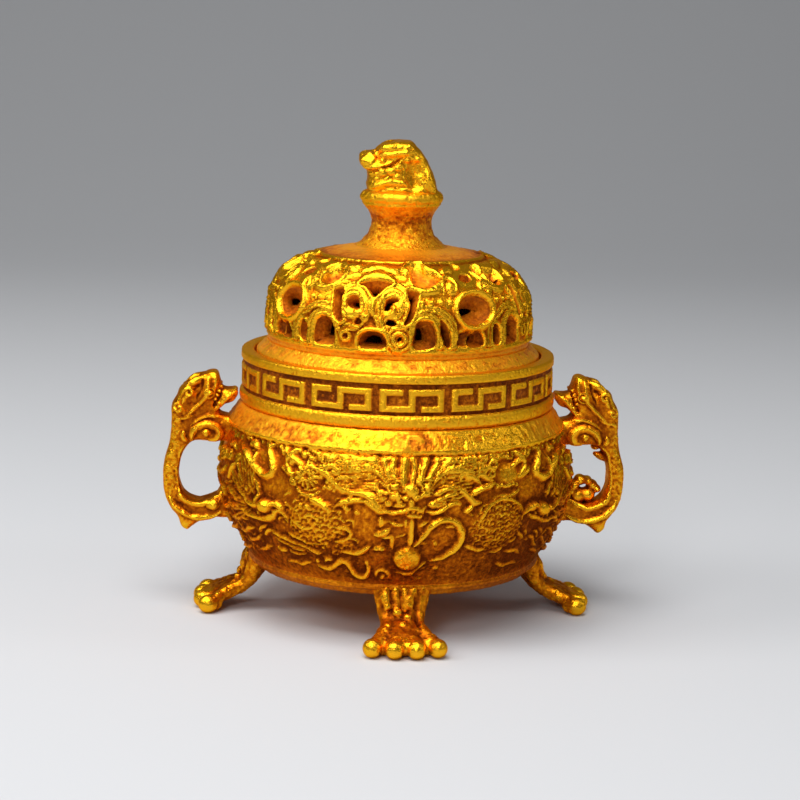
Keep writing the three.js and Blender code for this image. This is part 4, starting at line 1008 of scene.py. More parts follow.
ARCADE = [
    [(-12.6, 60.5), (-12.8, 62.8), (-12.2, 65), (-10.6, 66), (-9, 65.4), (-7.9, 64.2),
     (-7.8, 62.4), (-8, 60.6), (-10.2, 60.3)],
    [(8.7, 60.5), (8.6, 63), (9.1, 65.3), (10.6, 66), (12.2, 65.6), (13.1, 63.6), (13, 61),
     (11, 60.3)],
    [(14, 66), (14.8, 65.8), (15.7, 64.3), (16.2, 62.2), (16.1, 60.7), (15.1, 60.9),
     (14.4, 62.4), (14, 64.4)],
    [(-14.6, 60.6), (-16.3, 60.9), (-16.8, 62.8), (-16.3, 64.6), (-15.2, 64.6), (-14.4, 62.8)],
    [(20.6, 60.6), (20.4, 62.2), (21.4, 63.5), (23, 63.4), (24, 62.2), (23.9, 60.7)],
]
OPENINGS = [
    [(-5.6, 69.2), (-5.2, 70.1), (-4.2, 70.4), (-3.2, 70), (-2.9, 69), (-2.6, 68), (-3.3, 67.9),
     (-4.4, 68), (-5.3, 68.4)],  # eyes of the two scrolls
    [(2.5, 67.9), (2.6, 69.2), (3.3, 70.1), (4.6, 70.3), (5.6, 69.9), (4.6, 69.5), (3.9, 68.9),
     (3.5, 68)],
    [(-2.3, 60.6), (-2.4, 61.9), (-1.5, 63), (0.2, 63.6), (2.2, 63.1), (3, 61.9), (2.9, 60.6),
     (0.3, 60.3)],  # half-round mouth
    [(2.9, 65.3), (3.5, 66.2), (4.6, 65.9), (5.2, 65.3), (4.2, 64.8)],
    [(5.3, 62.2), (5.7, 62.7), (6.2, 62.3), (5.8, 61.8)],
    [(20.7, 73.6), (22.2, 74.4), (24.2, 74.1), (23.8, 73.3), (22, 73)],
    [(-12.6, 72.5), (-11.4, 72.2), (-9.8, 72.7), (-9.2, 73.2), (-10.6, 73.1), (-11.8, 72.9)],
    LENS, ROUND, *WEDGES, *ARCADE,
]
# Hollows that stop short of going through: outline and depth
HOLLOWS = [
    (LEAF_RIGHT, 1.5), (LEAF_LEFT, 1.3),
    ([(4, 73.9), (5.6, 74), (7.2, 73.5), (6.4, 73.1), (4.6, 73.2)], 1.0),
    ([(-7.6, 73.4), (-6, 74), (-4.2, 73.9), (-4.8, 73.3), (-6.2, 73)], 1.0),
    ([(20.9, 75.4), (22.4, 76), (24, 75.7), (23.4, 75.1), (21.8, 75)], 1.0),
    ([(26.8, 74.6), (28.4, 75.6), (30.2, 75.2), (29.4, 74.2), (28, 73.9)], 1.2),
    ([(-24.6, 60.6), (-25, 62.4), (-24.2, 63.6), (-22.8, 63.8), (-21.9, 62.6), (-22, 60.7)], 0.9),
    ([(17.6, 60.8), (17.7, 62.8), (18.8, 63.7), (19.9, 62.9), (19.7, 60.9)], 0.8),
    ([(-3.6, 65.6), (-3, 66.4), (-2, 65.8), (-2.4, 64.9), (-3.4, 64.7)], 0.9),
]


SCROLLS = [  # width and places of ribbons that are drawn on both sides
    (1.5, (-7.2, 66), (-7.7, 68.4), (-7.1, 70.6), (-5.6, 71.9), (-3.8, 72), (-2.2, 71.1),
     (-1.2, 69.4), (-1, 67.6), (-1.4, 66.2)),
    (1.1, (-3.3, 66.7), (-5, 66.7), (-6.1, 68), (-6.1, 69.6), (-5.2, 70.9), (-3.8, 71),
     (-2.6, 70.2)),
]
RIBBONS = [  # from the scrolls to the foot, then fans over the arches
    (1.4, 0.7, (-1.6, 66.4), (-2.4, 65), (-3.6, 64.2), (-5, 64.4), (-6.2, 63.2)),
    (1.5, 0.7, (1.3, 66.4), (2, 64.6), (3.2, 63), (4.4, 61.6), (5, 60.2)),
    (1.35, 0.75, (8.2, 63.6), (8.6, 65.8), (10.2, 67), (12.4, 66.7), (13.6, 65.2), (14, 63.2),
     (13.9, 60.8)),
    (1.35, 0.75, (8.4, 67.2), (10.2, 68.3), (12.6, 68.2), (14.8, 67.4), (16.6, 65.6), (17, 63.4),
     (17, 60.8)),
    (1.35, 0.75, (-7.2, 64), (-8, 66), (-10.2, 66.9), (-12.6, 66.2), (-13.7, 64.2), (-13.7, 62.2),
     (-13.6, 60.6)),
    (1.35, 0.75, (-7.8, 67.2), (-10.2, 68.2), (-12.8, 68), (-15, 66.8), (-17, 65.6), (-17.7, 63.6),
     (-17.7, 60.8)),
]
DOME_ROPES = [
    (1.3, 1.1, (0.15, 70), (0.2, 68.6), (0.2, 66.8)),
    (0.8, 0.8, (-3.6, 68), (-3.2, 67.4), (-2.4, 67)),
    (0.9, 0.9, (4.2, 68.9), (4.6, 68.2), (4.2, 67.3), (3.2, 66.9)),
    (0.9, 0.8, (3.4, 64.6), (4.6, 65.4), (6, 65.3)),
    (0.9, 0.8, (-2.9, 60.4), (-2.9, 62.2), (-1.8, 63.7), (0.2, 64.2), (2.6, 63.7), (3.5, 62.2),
     (3.4, 60.4)),
    (1.5, 0.8, (-2.6, 59.75), (0, 59.7), (3, 59.75)),
    (1.0, 1.0, (20.7, 65.1), (21.6, 65.4), (22.3, 65.1)),  # two pips under the round opening
    (1.0, 1.0, (22.6, 65.1), (23.4, 65.5), (24, 65.3)),
    (1.0, 0.7, (19, 64.5), (21, 64.1), (23.4, 64.1), (25.6, 64.7)),
    (1.2, 0.8, (-9.2, 71.9), (-12, 71.2), (-14.6, 71.6), (-16.4, 73.2), (-17.4, 74.6)),
    (1.2, 0.8, (8.4, 71.9), (11, 71.3), (13.8, 71.6), (15.4, 72.4)),
    (1.1, 0.7, (-4.6, 74.7), (0, 75.2), (4.4, 74.9), (6.4, 75.6)),
    (1.1, 0.7, (-9.6, 75.3), (-7.6, 75), (-5.6, 75.3)),
    (1.0, 0.7, (16.4, 74.6), (18.6, 75), (20, 74.8)),
    (1.4, 0.9, (-4.4, 72.3), (-3, 73.4), (0.2, 74.1), (3.4, 73.5), (4.8, 72.6)),
]


def dome_relief(sheet):
    """Scrolls, ribbons and rings round the openings, for one quarter (it repeats four times)."""
    for width, *points in SCROLLS:
        sheet.ribbon(width, 0.75, *points)
        sheet.ribbon(width, 0.75, *[(-0.1 - x, z) for x, z in points])
    for width, height, *points in RIBBONS:
        sheet.ribbon(width, height, *points)
    sheet.ropes(DOME_ROPES)
    for x, z, r, width, height in ((5.7, 62.3, 1.3, 0.8, 0.75), (5.7, 62.3, 2.3, 0.6, 0.5),
                                   (-5.3, 62.5, 0.95, 0.7, 0.65)):
        sheet.ring(x, z, r, width, height)
    for x in (10.4, 12.4, 14.4, -10.4, -12.4, -14.4, 16.6, -16.8):
        sheet.boss(x, 69.5, 0.5, 0.45, 0.7)
    sheet.boss(17.3, 72.3, 1.1, 0.9, 0.9)
    for curl in ((10.8, 62.6, 0.8, 90, 1, 0.5, 0.5), (17.3, 72.2, 2.0, 200, -1.3, 0.9, 0.85),
                 (-17.2, 71.4, 1.6, 320, 1.5, 0.8, 0.8), (27.4, 72, 1.3, 120, 1.3, 0.7, 0.8)):
        sheet.curl(*curl)
    # edging round the openings
    for outline, width, height, gap in (
        (LEAF_RIGHT, 0.9, 0.7, 0.55), (LEAF_LEFT, 0.9, 0.7, 0.55), (LENS, 1.0, 0.85, 0.6),
        (ROUND, 1.1, 1.0, 0.65), *[(w, 0.75, 0.7, 0.42) for w in WEDGES],
        *[(w, 0.5, 0.5, 0.3) for w in ARCADE[2:]],
    ):
        line = np.array(outline)
        out = line - line.mean(0)
        out = line + out / np.linalg.norm(out, axis=1)[:, None] * gap
        sheet.rope(width, height, *out, closed=True)


def dome_profile():
    """Points up the dome's outside, closer where it is worked than on its plain crown."""
    line = spline([(DOME_R, DOME_BASE), (DOME_R - 0.1, 62.0), (DOME_R - 0.4, 66.3),
                   (DOME_R - 1.6, 70.1), (DOME_R - 4.5, 73.4), (DOME_R - 10.2, 76.1),
                   (DOME_TOP_R, DOME_TOP)], steps=24)
    line = line[np.concatenate([[True], np.linalg.norm(np.diff(line, axis=0), axis=1) > 1e-6])]
    run = np.concatenate([[0], np.cumsum(np.linalg.norm(np.diff(line, axis=0), axis=1))])
    work_low, work_top, end = 1.9, np.interp(76.2, line[:, 1], run), run[-1]
    steps = np.concatenate([np.arange(0, work_low, 0.5), np.arange(work_low, work_top, 0.3),
                            np.arange(work_top, end, 0.62), [end]])
    return np.stack([np.interp(steps, run, line[:, k]) for k in (0, 1)], 1)


def near_outline(at, outline):
    """The places near an outline, in each quarter it touches: which they are, how deep they lie
    within it, and the nearest places on it."""
    line = spline(outline, steps=5, closed=True)
    for m, moved, shift in touching(at, line, 1, QUARTER):
        depth, nearest = depth_in(moved, line)
        yield m, depth, nearest - (shift, 0)


def pierce(at):
    """For places on a quarter of the dome: the distance to the nearest opening, negative within it,
    the place on its edge, and how its far end is pulled: inwards, then along and up."""
    best = np.full(len(at), FAR)
    edge = at.copy()
    pull = np.zeros((len(at), 3))
    for outline in OPENINGS:
        u, z = spline(outline, steps=5, closed=True)[:-1].mean(0)
        for m, depth, nearest in near_outline(at, outline):
            closer = -depth < best[m]
            m = m[closer]
            best[m], edge[m] = -depth[closer], nearest[closer]
            inwards = min(2.2, (0.6 + 0.16 * min(1, abs(u) / 14)) * max(0.0, depth.max()))
            aside = np.clip(-2.4 * math.tan(u / DOME_R), -0.85 * inwards, 0.85 * inwards)
            pull[m] = inwards, aside, -min(inwards, 0.25 * max(0, z - 70))
    return best, edge, pull


def dome_heights(u, z, hollow):
    """How far the work stands out from the dome's outside, less its hollows."""
    sheet = Relief((u + QUARTER / 2) % QUARTER - QUARTER / 2, z, period=QUARTER)
    dome_relief(sheet)
    height = sheet.height() * (1 - smooth(0, 0.3, hollow))
    height *= smooth(59, 59.4, z) * (1 - smooth(75.9, 76.5, z))
    height -= hollow
    # the plain crown stands a step above the openwork, with a line round it
    height += 0.25 * smooth(76.0, 76.3, z) + 0.4 * np.exp(-(((z - CROWN_LINE) / 0.16) ** 2))
    height += 0.25 * smooth(59.2, 59.6, z) * (1 - smooth(75.6, 76, z)) * (hollow < 0.05)
    foot = np.abs(z - FOOT_LINE) < 0.6
    bead = 0.4 * np.sqrt(np.clip(1 - ((z - FOOT_LINE) / 0.45) ** 2, 0, 1))
    return np.where(foot, np.maximum(height, bead), height)


def build_dome():
    columns = 600
    profile = dome_profile()
    rows = len(profile)
    count = rows * columns
    n = profile_normals(profile)
    quarter = columns // 4

    def all_round(field):
        """A quarter's values, repeated for the whole round."""
        return np.concatenate([field.reshape(rows, quarter, *field.shape[1:])] * 4, 1)

    angle = TAU * (np.arange(columns) / columns)
    along = angle[:quarter] * DOME_R - QUARTER / 2
    at = np.stack(np.broadcast_arrays(along, profile[:, 1:]), -1).reshape(-1, 2)
    hollow = np.zeros(len(at))
    for outline, deep in HOLLOWS:
        for m, depth, _ in near_outline(at, outline):
            hollow[m] = np.maximum(hollow[m], deep * smooth(-0.05, 0.75, depth))
    hollow = all_round(hollow).ravel()
    best, edge, pull = (all_round(field) for field in pierce(at))
    # a cell is metal where its middle is
    middle = (best + np.roll(best, -1, axis=1))
    middle = (middle[:-1] + middle[1:]) / 4
    solid = middle > 0
    # vertices on the border between metal and air move to the opening's edge
    touch = np.zeros((rows, columns), int)
    for up, across in np.ndindex(2, 2):
        touch[up:rows - 1 + up] += np.roll(solid, across, axis=1)
    border = (touch > 0) & (touch < 4)
    border[0] = border[-1] = False
    u, z = (v.copy() for v in np.broadcast_arrays(angle * DOME_R - QUARTER / 2, profile[:, 1:]))
    edge[..., 0] += np.repeat(np.arange(4) * QUARTER, quarter)
    close = border & (np.abs(best) < 0.5)
    u[close], z[close] = edge[close].T
    turn = (u.ravel() + QUARTER / 2) / DOME_R + LID_TURN - math.pi / 4
    up = z.ravel()

    def place(lift, turn, z):
        """Points lifted off the dome's outside at the given turns and heights."""
        r, nr, nz = (np.interp(z, profile[:, 1], v) for v in (profile[:, 0], n[:, 0], n[:, 1]))
        radius = r + nr * lift
        return np.stack([radius * np.sin(turn), -radius * np.cos(turn), z + nz * lift], 1)

    height = dome_heights(u.ravel(), up, hollow)
    back = height * (border.ravel() & (best.ravel() < 0.6)) * 0.35
    sand = place(0, turn, up)
    stipple = 0.08 * grain(sand, 0.55) + 0.07 * grain(sand, 1.2, 5.5)
    height = height * (0.95 + 0.15 * grain(sand, 1.6, 2.2)) + 0.03 * grain(sand, 0.6, 9)
    outer = place(height - back + stipple * (1 - smooth(0.1, 0.4, height)), turn, up)
    # the openings narrow inwards, so away from the face their edges reach further in
    slope_z, slope_u = np.gradient(best)
    slope_z, slope_u = slope_z / np.gradient(profile[:, 1])[:, None], slope_u / (u[0, 1] - u[0, 0])
    steep = np.maximum(np.hypot(slope_z, slope_u), 0.2)
    pull *= close[..., None]
    behind = smooth(1.8, 2.4, np.abs((turn.reshape(rows, columns) + math.pi) % TAU - math.pi))
    pull[..., 0] *= 1 + 0.3 * behind
    pull[..., 1] *= 1 - 0.8 * behind
    move_z = pull[..., 2] - slope_z / steep * pull[..., 0]
    move_u = pull[..., 1] - slope_u / steep * pull[..., 0]

    def deeper(lift, share):
        """The same points further in, with this share of their openings' pull."""
        at_z = np.clip(z + move_z * share, profile[0, 1], profile[-1, 1]).ravel()
        return place(lift, turn + (move_u * share).ravel() / DOME_R, at_z)

    levels = [outer, deeper(height - back - 0.3, 0.02), deeper(height - back - 1.1, 0.14),
              deeper(-DOME_WALL + 0.03 * grain(sand, 0.8), 1.0)]
    middles = [[0, 0, DOME_TOP], [0, 0, levels[-1][-columns:, 2].mean()]]
    keep = grid_faces(rows, columns).reshape(rows - 1, columns, 4)[solid]
    # walls of the openings: every edge that only one kept cell uses
    sides = np.concatenate([keep[:, [k, (k + 1) % 4]] for k in range(4)])
    key = np.sort(sides, axis=1)
    _, where, times = np.unique(key[:, 0] * count + key[:, 1], return_index=True, return_counts=True)
    rim = sides[where[times == 1]]
    rim = rim[rim[:, 1] < count - columns]
    wall = np.stack([rim[:, 1], rim[:, 0], rim[:, 0] + count, rim[:, 1] + count], 1)
    last = np.arange(count - columns, count)
    faces = [keep, keep[:, ::-1] + 3 * count, wall, wall + count, wall + 2 * count,
             fan(last, 4 * count, True), fan(last + 3 * count, 4 * count + 1, False)]
    verts = np.vstack([*levels, middles])
    # where it is dull and sooty, and where its colour is painted lighter or darker
    # dull and sooty in the blind hollows, on the crown and below the foot line; the walls and inside
    # behind the openings fully sooty, as painted shade
    inside = np.concatenate([0.6 * smooth(0.3, 0.9, hollow), np.ones(3 * count + 2)])
    inside[:count] += 0.55 * (smooth(76.1, 76.7, up) + 1 - smooth(59, 59.6, up))
    inside[4 * count] = 0.55
    # painted light over the upper openwork and a little on the crown
    wear_and_painted_light = (0.36 * smooth(63, 71, verts[:, 2]) * (1 - smooth(75.6, 76.4, verts[:, 2]))
            + 0.04 * smooth(76, 76.6, verts[:, 2]))
    # painted shade: the openings' walls and the lid's inside much darker
    wear_and_painted_light[count:] -= 0.75
    make("lid_pierced_dome", verts, faces, "lid", "lid_dome", relief_brass, rough=0.02,
         crease=0.2, inside=inside, wear_and_painted_light=wear_and_painted_light)


build_dome()


def build_pedestal():
    columns = 220
    w, bead = PEDESTAL_WAIST_R, PEDESTAL_BEAD_R
    line = [(0.001, 77.3), (DOME_TOP_R + 0.5, 77.3), (DOME_TOP_R + 0.3, 77.9),
            (DOME_TOP_R - 0.8, 78.5), (8.1, 79.2), (w + 0.8, 80.4), (w + 0.15, 82.0), (w, 83.4),
            (w + 0.25, 84.6), (w + 0.95, 85.6), (bead - 0.95, 86.3), (bead - 0.5, 86.75),
            (bead - 0.35, 87.05), (bead - 0.42, 87.3), (bead - 0.2, 87.6), (bead + 0.05, 88.1),
            (bead + 0.1, 88.6), (bead - 0.1, 89.1), (bead - 0.5, 89.5), (bead - 1.2, 89.72),
            (0.001, 89.72)]
    profile = resample(line, 0.4)
    p = turned(profile, columns).reshape(-1, 3)
    r = np.linalg.norm(p[:, :2], axis=1)
    lumpy = 0.1 * grain(p, 0.7) + 0.16 * grain(p, 1.4, 2.2) + 0.12 * grain(p, 2.6, 9.1)
    p[:, :2] *= (1 + lumpy * (r > 4) / np.maximum(r, 1))[:, None]
    # painted light: the whole stem's colour lightened; duller and sootier below the bead
    make("knob_stem", p, [grid_faces(len(profile), columns)], "lid", "knob_pedestal",
         plain_brass, rough=0.035, inside=0.28 * (1 - smooth(85.6, 86.6, p[:, 2])), wear_and_painted_light=0.26)


build_pedestal()


# Modelled solids
def span(first, last):
    """The slices of a grid from one corner up to another."""
    return tuple(slice(a, b) for a, b in zip(first, last))


class Clay:
    """A solid as a field over a grid of points in space, in mm: positive inside."""

    def __init__(self, low, high, cell):
        self.low, self.cell = np.array(low, float), cell
        count = np.ceil((np.array(high) - self.low) / cell).astype(int) + 1
        axes = [start + cell * np.arange(n) for start, n in zip(self.low, count)]
        self.grids = np.meshgrid(*axes, indexing="ij")
        self.field = np.full(count, -3.0)

    def part(self, low, high):
        """The stretch of the grid between two corners: its slices and its places."""
        first = np.floor((low - self.low) / self.cell).astype(int)
        last = np.ceil((high - self.low) / self.cell).astype(int) + 1
        where = span(np.maximum(first, 0), np.maximum(last, 0))
        return where, [grid[where] for grid in self.grids]

    def merge(self, where, value, blend, cut=False):
        """Join a body to the field, or cut it out, with a soft seam."""
        old = self.field[where]
        a, b = (-old, value) if cut else (old, value)
        h = np.clip(0.5 + 0.5 * (b - a) / blend, 0, 1)
        new = a + (b - a) * h + blend * h * (1 - h)
        self.field[where] = -new if cut else new

    def limb(self, points, radii, blend, squash=(1, 1, 1), cut=False, steps=5):
        """A body along a line, its radius changing from point to point."""
        line = spline(points, steps=steps) / squash
        sizes = spline([(r, 0) for r in radii], steps=steps)[:, 0]
        sizes = np.interp(np.linspace(0, 1, len(line)), np.linspace(0, 1, len(sizes)), sizes)
        reach = sizes.max() + blend + 2 * self.cell
        low, high = (line.min(0) - reach) * squash, (line.max(0) + reach) * squash
        where, grids = self.part(low, high)
        p = np.stack([g.ravel() for g in grids], 1) / squash
        value = np.full(len(p), -FAR)
        for a, b, ra, rb in zip(line[:-1], line[1:], sizes[:-1], sizes[1:]):
            d = b - a
            length = d @ d
            if length < 1e-9:
                continue
            t = np.clip(((p - a) @ d) / length, 0, 1)
            off = np.linalg.norm(p - a - t[:, None] * d, axis=1)
            value = np.maximum(value, ra + t * (rb - ra) - off)
        self.merge(where, value.reshape(grids[0].shape) * min(squash), blend, cut)

    def ball(self, x, y, z, rx, ry=None, rz=None, blend=0.5):
        """An egg shape. A half width that isn't given is like the one before it."""
        ry, rz = ry or rx, rz or ry or rx
        r = np.array([rx, ry, rz], float)
        at = np.array([x, y, z], float)
        where, (gx, gy, gz) = self.part(at - r - blend - 0.5, at + r + blend + 0.5)
        q = np.sqrt(((gx - x) / rx) ** 2 + ((gy - y) / ry) ** 2 + ((gz - z) / rz) ** 2)
        self.merge(where, (1 - q) * r.min(), blend)

    def plate(self, outline, thick, edge):
        """A body in the XZ plane, centred on Y, with a rounded rim of the given radius."""
        gx, gy, gz = self.grids
        flat = np.stack([gx[:, 0].ravel(), gz[:, 0].ravel()], 1)
        d = depth_in(flat, spline(outline, steps=5, closed=True))[0]
        d = d.reshape(gx[:, 0].shape)[:, None, :]
        half = thick / 2
        inner = np.minimum(d - edge, 0)
        over = np.maximum(np.abs(gy) - (half - edge), 0)
        value = np.where((d > edge) & (over <= 0), half - np.abs(gy), edge - np.hypot(inner, over))
        self.field = np.maximum(self.field, value)

    def below(self, z):
        """Cut off all that lies below z."""
        self.field = np.minimum(self.field, self.grids[2] - z)

    def skin(self):
        """The surface: a vertex in each cell the surface crosses, a quad on each crossed edge."""
        f = np.where(np.abs(self.field) < 1e-6, -1e-6, self.field)
        n = np.array(f.shape) - 1
        units = np.eye(3, dtype=int)
        total, hits = np.zeros((*n, 3)), np.zeros(n)
        for axis, ahead in enumerate(units):
            for corner in np.ndindex(2, 2):
                first = np.insert(corner, axis, 0)
                f0, f1 = f[span(first, n + first)], f[span(first + ahead, n + first + ahead)]
                m = (f0 > 0) != (f1 > 0)
                at = np.tile(first.astype(float), (m.sum(), 1))
                at[:, axis] = f0[m] / (f0[m] - f1[m])
                total[m] += at
                hits[m] += 1
        active = hits > 0
        ids = np.full(n, -1)
        ids[active] = np.arange(active.sum())
        middles = np.argwhere(active) + total[active] / hits[active][:, None]
        verts = self.low + self.cell * middles
        quads = []
        for axis in range(3):
            ahead, a, b = np.roll(units, -axis, axis=0)
            base = a + b
            f0, f1 = f[span(base, n)], f[span(base + ahead, n + ahead)]
            for step, m in ((1, (f0 > 0) & (f1 <= 0)), (-1, (f0 <= 0) & (f1 > 0))):
                c = np.argwhere(m) + base
                ring = [ids[tuple(r.T)] for r in (c - a - b, c - b, c, c - a)]
                quads.append(np.stack(ring, 1)[:, ::step])
        # a little smoothing takes off the grid's steps
        return relax(verts, edges_of(quads), 2, 0.5), np.vstack(quads)


def sculpt(verts, faces, relief, power):
    """Strokes drawn on the two sides of a flat body, pushed out along its surface."""
    n = normals_of(verts, [faces])
    return verts + n * (relief * np.abs(n[:, 1]) ** power)[:, None]


# The paws
def build_legs():
    clay = Clay((20.5, -10, -0.8), (44, 10, 14), 0.23)
    root = UNDERSIDE_R

    def out(*points):
        """Places given from the edge of the bowl's underside outwards."""
        return [(root + x, y, z) for x, y, z in points]

    # the shank, broad across, and the palm it spreads into
    clay.limb(out((-1.4, 0, 13), (-0.5, 0, 9.6), (0.9, 0, 7), (3.6, 0, 4.6), (7.2, 0, 3.1),
                  (10.2, 0, 2.2)), [2.5, 2.1, 1.75, 1.65, 1.65, 1.5], 0.7, squash=(1, 2.3, 1))
    clay.limb(out((-0.6, 4.4, 13), (0.5, 3.6, 9.6), (1.4, 3, 6.8), (4, 2.9, 4.6), (8, 4.6, 2.8),
                  (10, 6.2, 2.0)), [1.9, 1.6, 1.5, 1.4, 1.3, 1.3], 0.8)
    clay.limb(out((-0.6, -4.4, 13), (0.5, -4.0, 9.6), (1.4, -3.4, 6.8), (4, -3.1, 4.6),
                  (8, -4.6, 2.8), (10, -6.2, 2.0)), [1.9, 1.7, 1.5, 1.4, 1.3, 1.3], 0.8)
    clay.limb(out((8.6, -5.6, 1.7), (9.3, 0, 1.7), (8.6, 5.6, 1.7)), [1.4, 1.5, 1.4], 0.5)
    for place in (-1.5, -0.5, 0.5, 1.5):
        y = place * 4.4
        reach = root + 10.7 + (0.4 if abs(place) < 1 else -0.6)
        clay.limb([(root + 4.6, y * 0.5, 4.9), (root + 7.4, y * 0.76, 3.4), (reach - 1, y, 2.4)],
                  [1.1, 1.2, 1.2], 0.6, steps=4)
        clay.ball(reach, y, 1.96, 2.1, 1.92, 1.96, blend=0.35)
    # locks of hair down the shank, and the deep cut beside the last toe
    for y, high, low in ((-3.6, 12, 8.4), (-1.6, 11.6, 6.4), (0.4, 12, 8), (1.9, 12.4, 7.4)):
        clay.limb(out((1.15, y, high), (1.9, y * 0.95, (high + low) / 2), (2.6, y * 0.92, low)),
                  [0.95, 1.0, 0.7], 0.35, steps=4)
    for x, y, z, r in ((1.9, -3.9, 10.4, 0.85), (2.4, -3.1, 8.6, 0.8), (3.2, -1.2, 7.4, 0.9),
                       (2.3, 1.3, 10.2, 0.8), (2.8, 1.1, 8.7, 0.75), (3.9, 0.9, 6.6, 0.8),
                       (5.4, -0.2, 5.4, 0.8), (6.4, 2.6, 4.6, 0.8), (5.4, -3, 4.9, 0.8)):
        clay.ball(root + x, y, z, r, blend=0.4)
    clay.limb(out((2.6, 3.05, 13), (2.9, 2.75, 9), (3.9, 2.75, 6.6), (6.4, 3.1, 5)),
              [0.75, 0.75, 0.65, 0.35], 0.3, cut=True)
    clay.below(0.0)
    verts, faces = clay.skin()
    verts[:, 2] = np.maximum(verts[:, 2], 0)
    # the joint with the bowl's underside: the leg follows the ring's lower edge
    r = np.hypot(verts[:, 0], verts[:, 1])
    ceiling = np.interp(r, [UNDERSIDE_R - 1, UNDERSIDE_R, UNDERSIDE_R + 1.1, FOOT_RING_R,
                            FOOT_RING_R + 1.2], [10.6, 10.7, 11.7, 12.3, 12.3])
    verts[:, 2] = np.minimum(verts[:, 2], ceiling)
    n = normals_of(verts, [faces])
    toes = 1 - smooth(root + 8.6, root + 9.6, verts[:, 0])
    lumps = (0.16 * grain(verts * (1, 1.3, 0.8), 1.1) + 0.08 * grain(verts, 0.55, 4.1)) * toes
    verts = verts + n * (lumps * smooth(0.3, 1.5, verts[:, 2]))[:, None]
    verts[:, 2] = np.maximum(verts[:, 2], 0)
    # painted highlight: the toe caps lighter; painted shade: the shank and palm darker
    wear_and_painted_light = 0.33 * smooth(root + 8.8, root + 9.9, verts[:, 0]) - 0.13
    for side, degrees in (("right", 0), ("back", 90), ("left", 180), ("front", 270)):
        a = math.radians(degrees)
        turn = np.array([[math.cos(a), math.sin(a), 0], [-math.sin(a), math.cos(a), 0], [0, 0, 1]])
        make("paw_" + side, verts @ turn, [faces], "burner", "leg_" + side, rubbed_brass,
             rough=0.0, crease=0.25, wear_and_painted_light=wear_and_painted_light)


build_legs()

# The dragon handles
DRAGON = [
    (-3, -24.7), (1.2, -25.2), (4.2, -26), (5.9, -27.1), (7, -27.9), (8.3, -27), (8.9, -25.2),
    (10.6, -23), (11.8, -20.2), (12.2, -16.6), (12, -13.3), (11, -9.6), (10.6, -6.4),
    (10.5, -3.5), (9.8, -1), (8, 1.9), (6.4, 3.2), (5.2, 3.2), (4.3, 4.7), (2.6, 6.1), (1, 6),
    (0.3, 4.1), (-0.4, 2.7), (-1.8, 2.5), (-3, 2.6), (-3.4, 1.5), (-2.4, 0.1), (-0.6, -0.8),
    (0.6, -1.9), (-0.1, -2.8), (-1.8, -3.2), (-4.4, -3.8), (-4.4, -8.4), (0, -8.6),
    (4.5, -8.5), (6.6, -9.2), (8.2, -11.6), (8.8, -14.8), (8.7, -17.3), (7.6, -19.8),
    (5.6, -21.1), (3, -21.4), (1, -20.4), (-0.1, -19), (-3, -19.2),
]
HANDLE_THICK = 6.2
HANDLE_ROPES = [  # width, height, (x, z) on a handle at +X
    (0.9, 0.55, (39.7, 50.2), (40, 48), (40.3, 46), (41.2, 44.7), (43, 42.9), (44.6, 41.6)),
    (0.9, 0.5, (42.6, 47.9), (44.4, 47.5), (45.4, 46.2), (46.2, 44.4)),
    (0.8, 0.45, (43.4, 46.2), (44.6, 45.6), (45.2, 44.4)),
    (0.7, 0.4, (43.2, 42), (44.6, 41.3), (46, 41), (47, 40.2)),
    (0.8, 0.45, (38.4, 50.2), (38.3, 48.6), (38.9, 46.8)),
    (0.9, 0.5, (34.2, 46.9), (35.8, 45.7), (37, 44.2), (38.2, 42.8)),
    (0.7, 0.4, (34, 45.4), (35.6, 44.2), (36.6, 42.8)),
    (2.0, 1.0, (43.2, 36.6), (43, 38.2), (41.8, 39.4), (40, 39.9), (38.2, 39.4), (37.4, 38),
     (38.2, 36.8), (39.6, 36.6)),  # scroll
    (1.0, 0.6, (44.2, 36.2), (45, 37.2), (44.8, 38.4)),
    (0.8, 0.4, (37, 41.6), (39.6, 41.7), (41.8, 41), (43.6, 39.6)),
    (1.2, 0.9, (36.8, 21), (39.6, 19.9), (42, 19.9), (44.4, 20.7), (46.4, 22.3), (47.6, 24.4)),
    (1.0, 0.8, (37.4, 24.4), (39.2, 23.3), (41.4, 22.6), (43.6, 23), (45.4, 24.4), (46, 26.2)),
    (0.7, 0.45, (46, 26), (46.3, 29), (46, 32), (45.2, 34.6), (43.8, 36)),
]


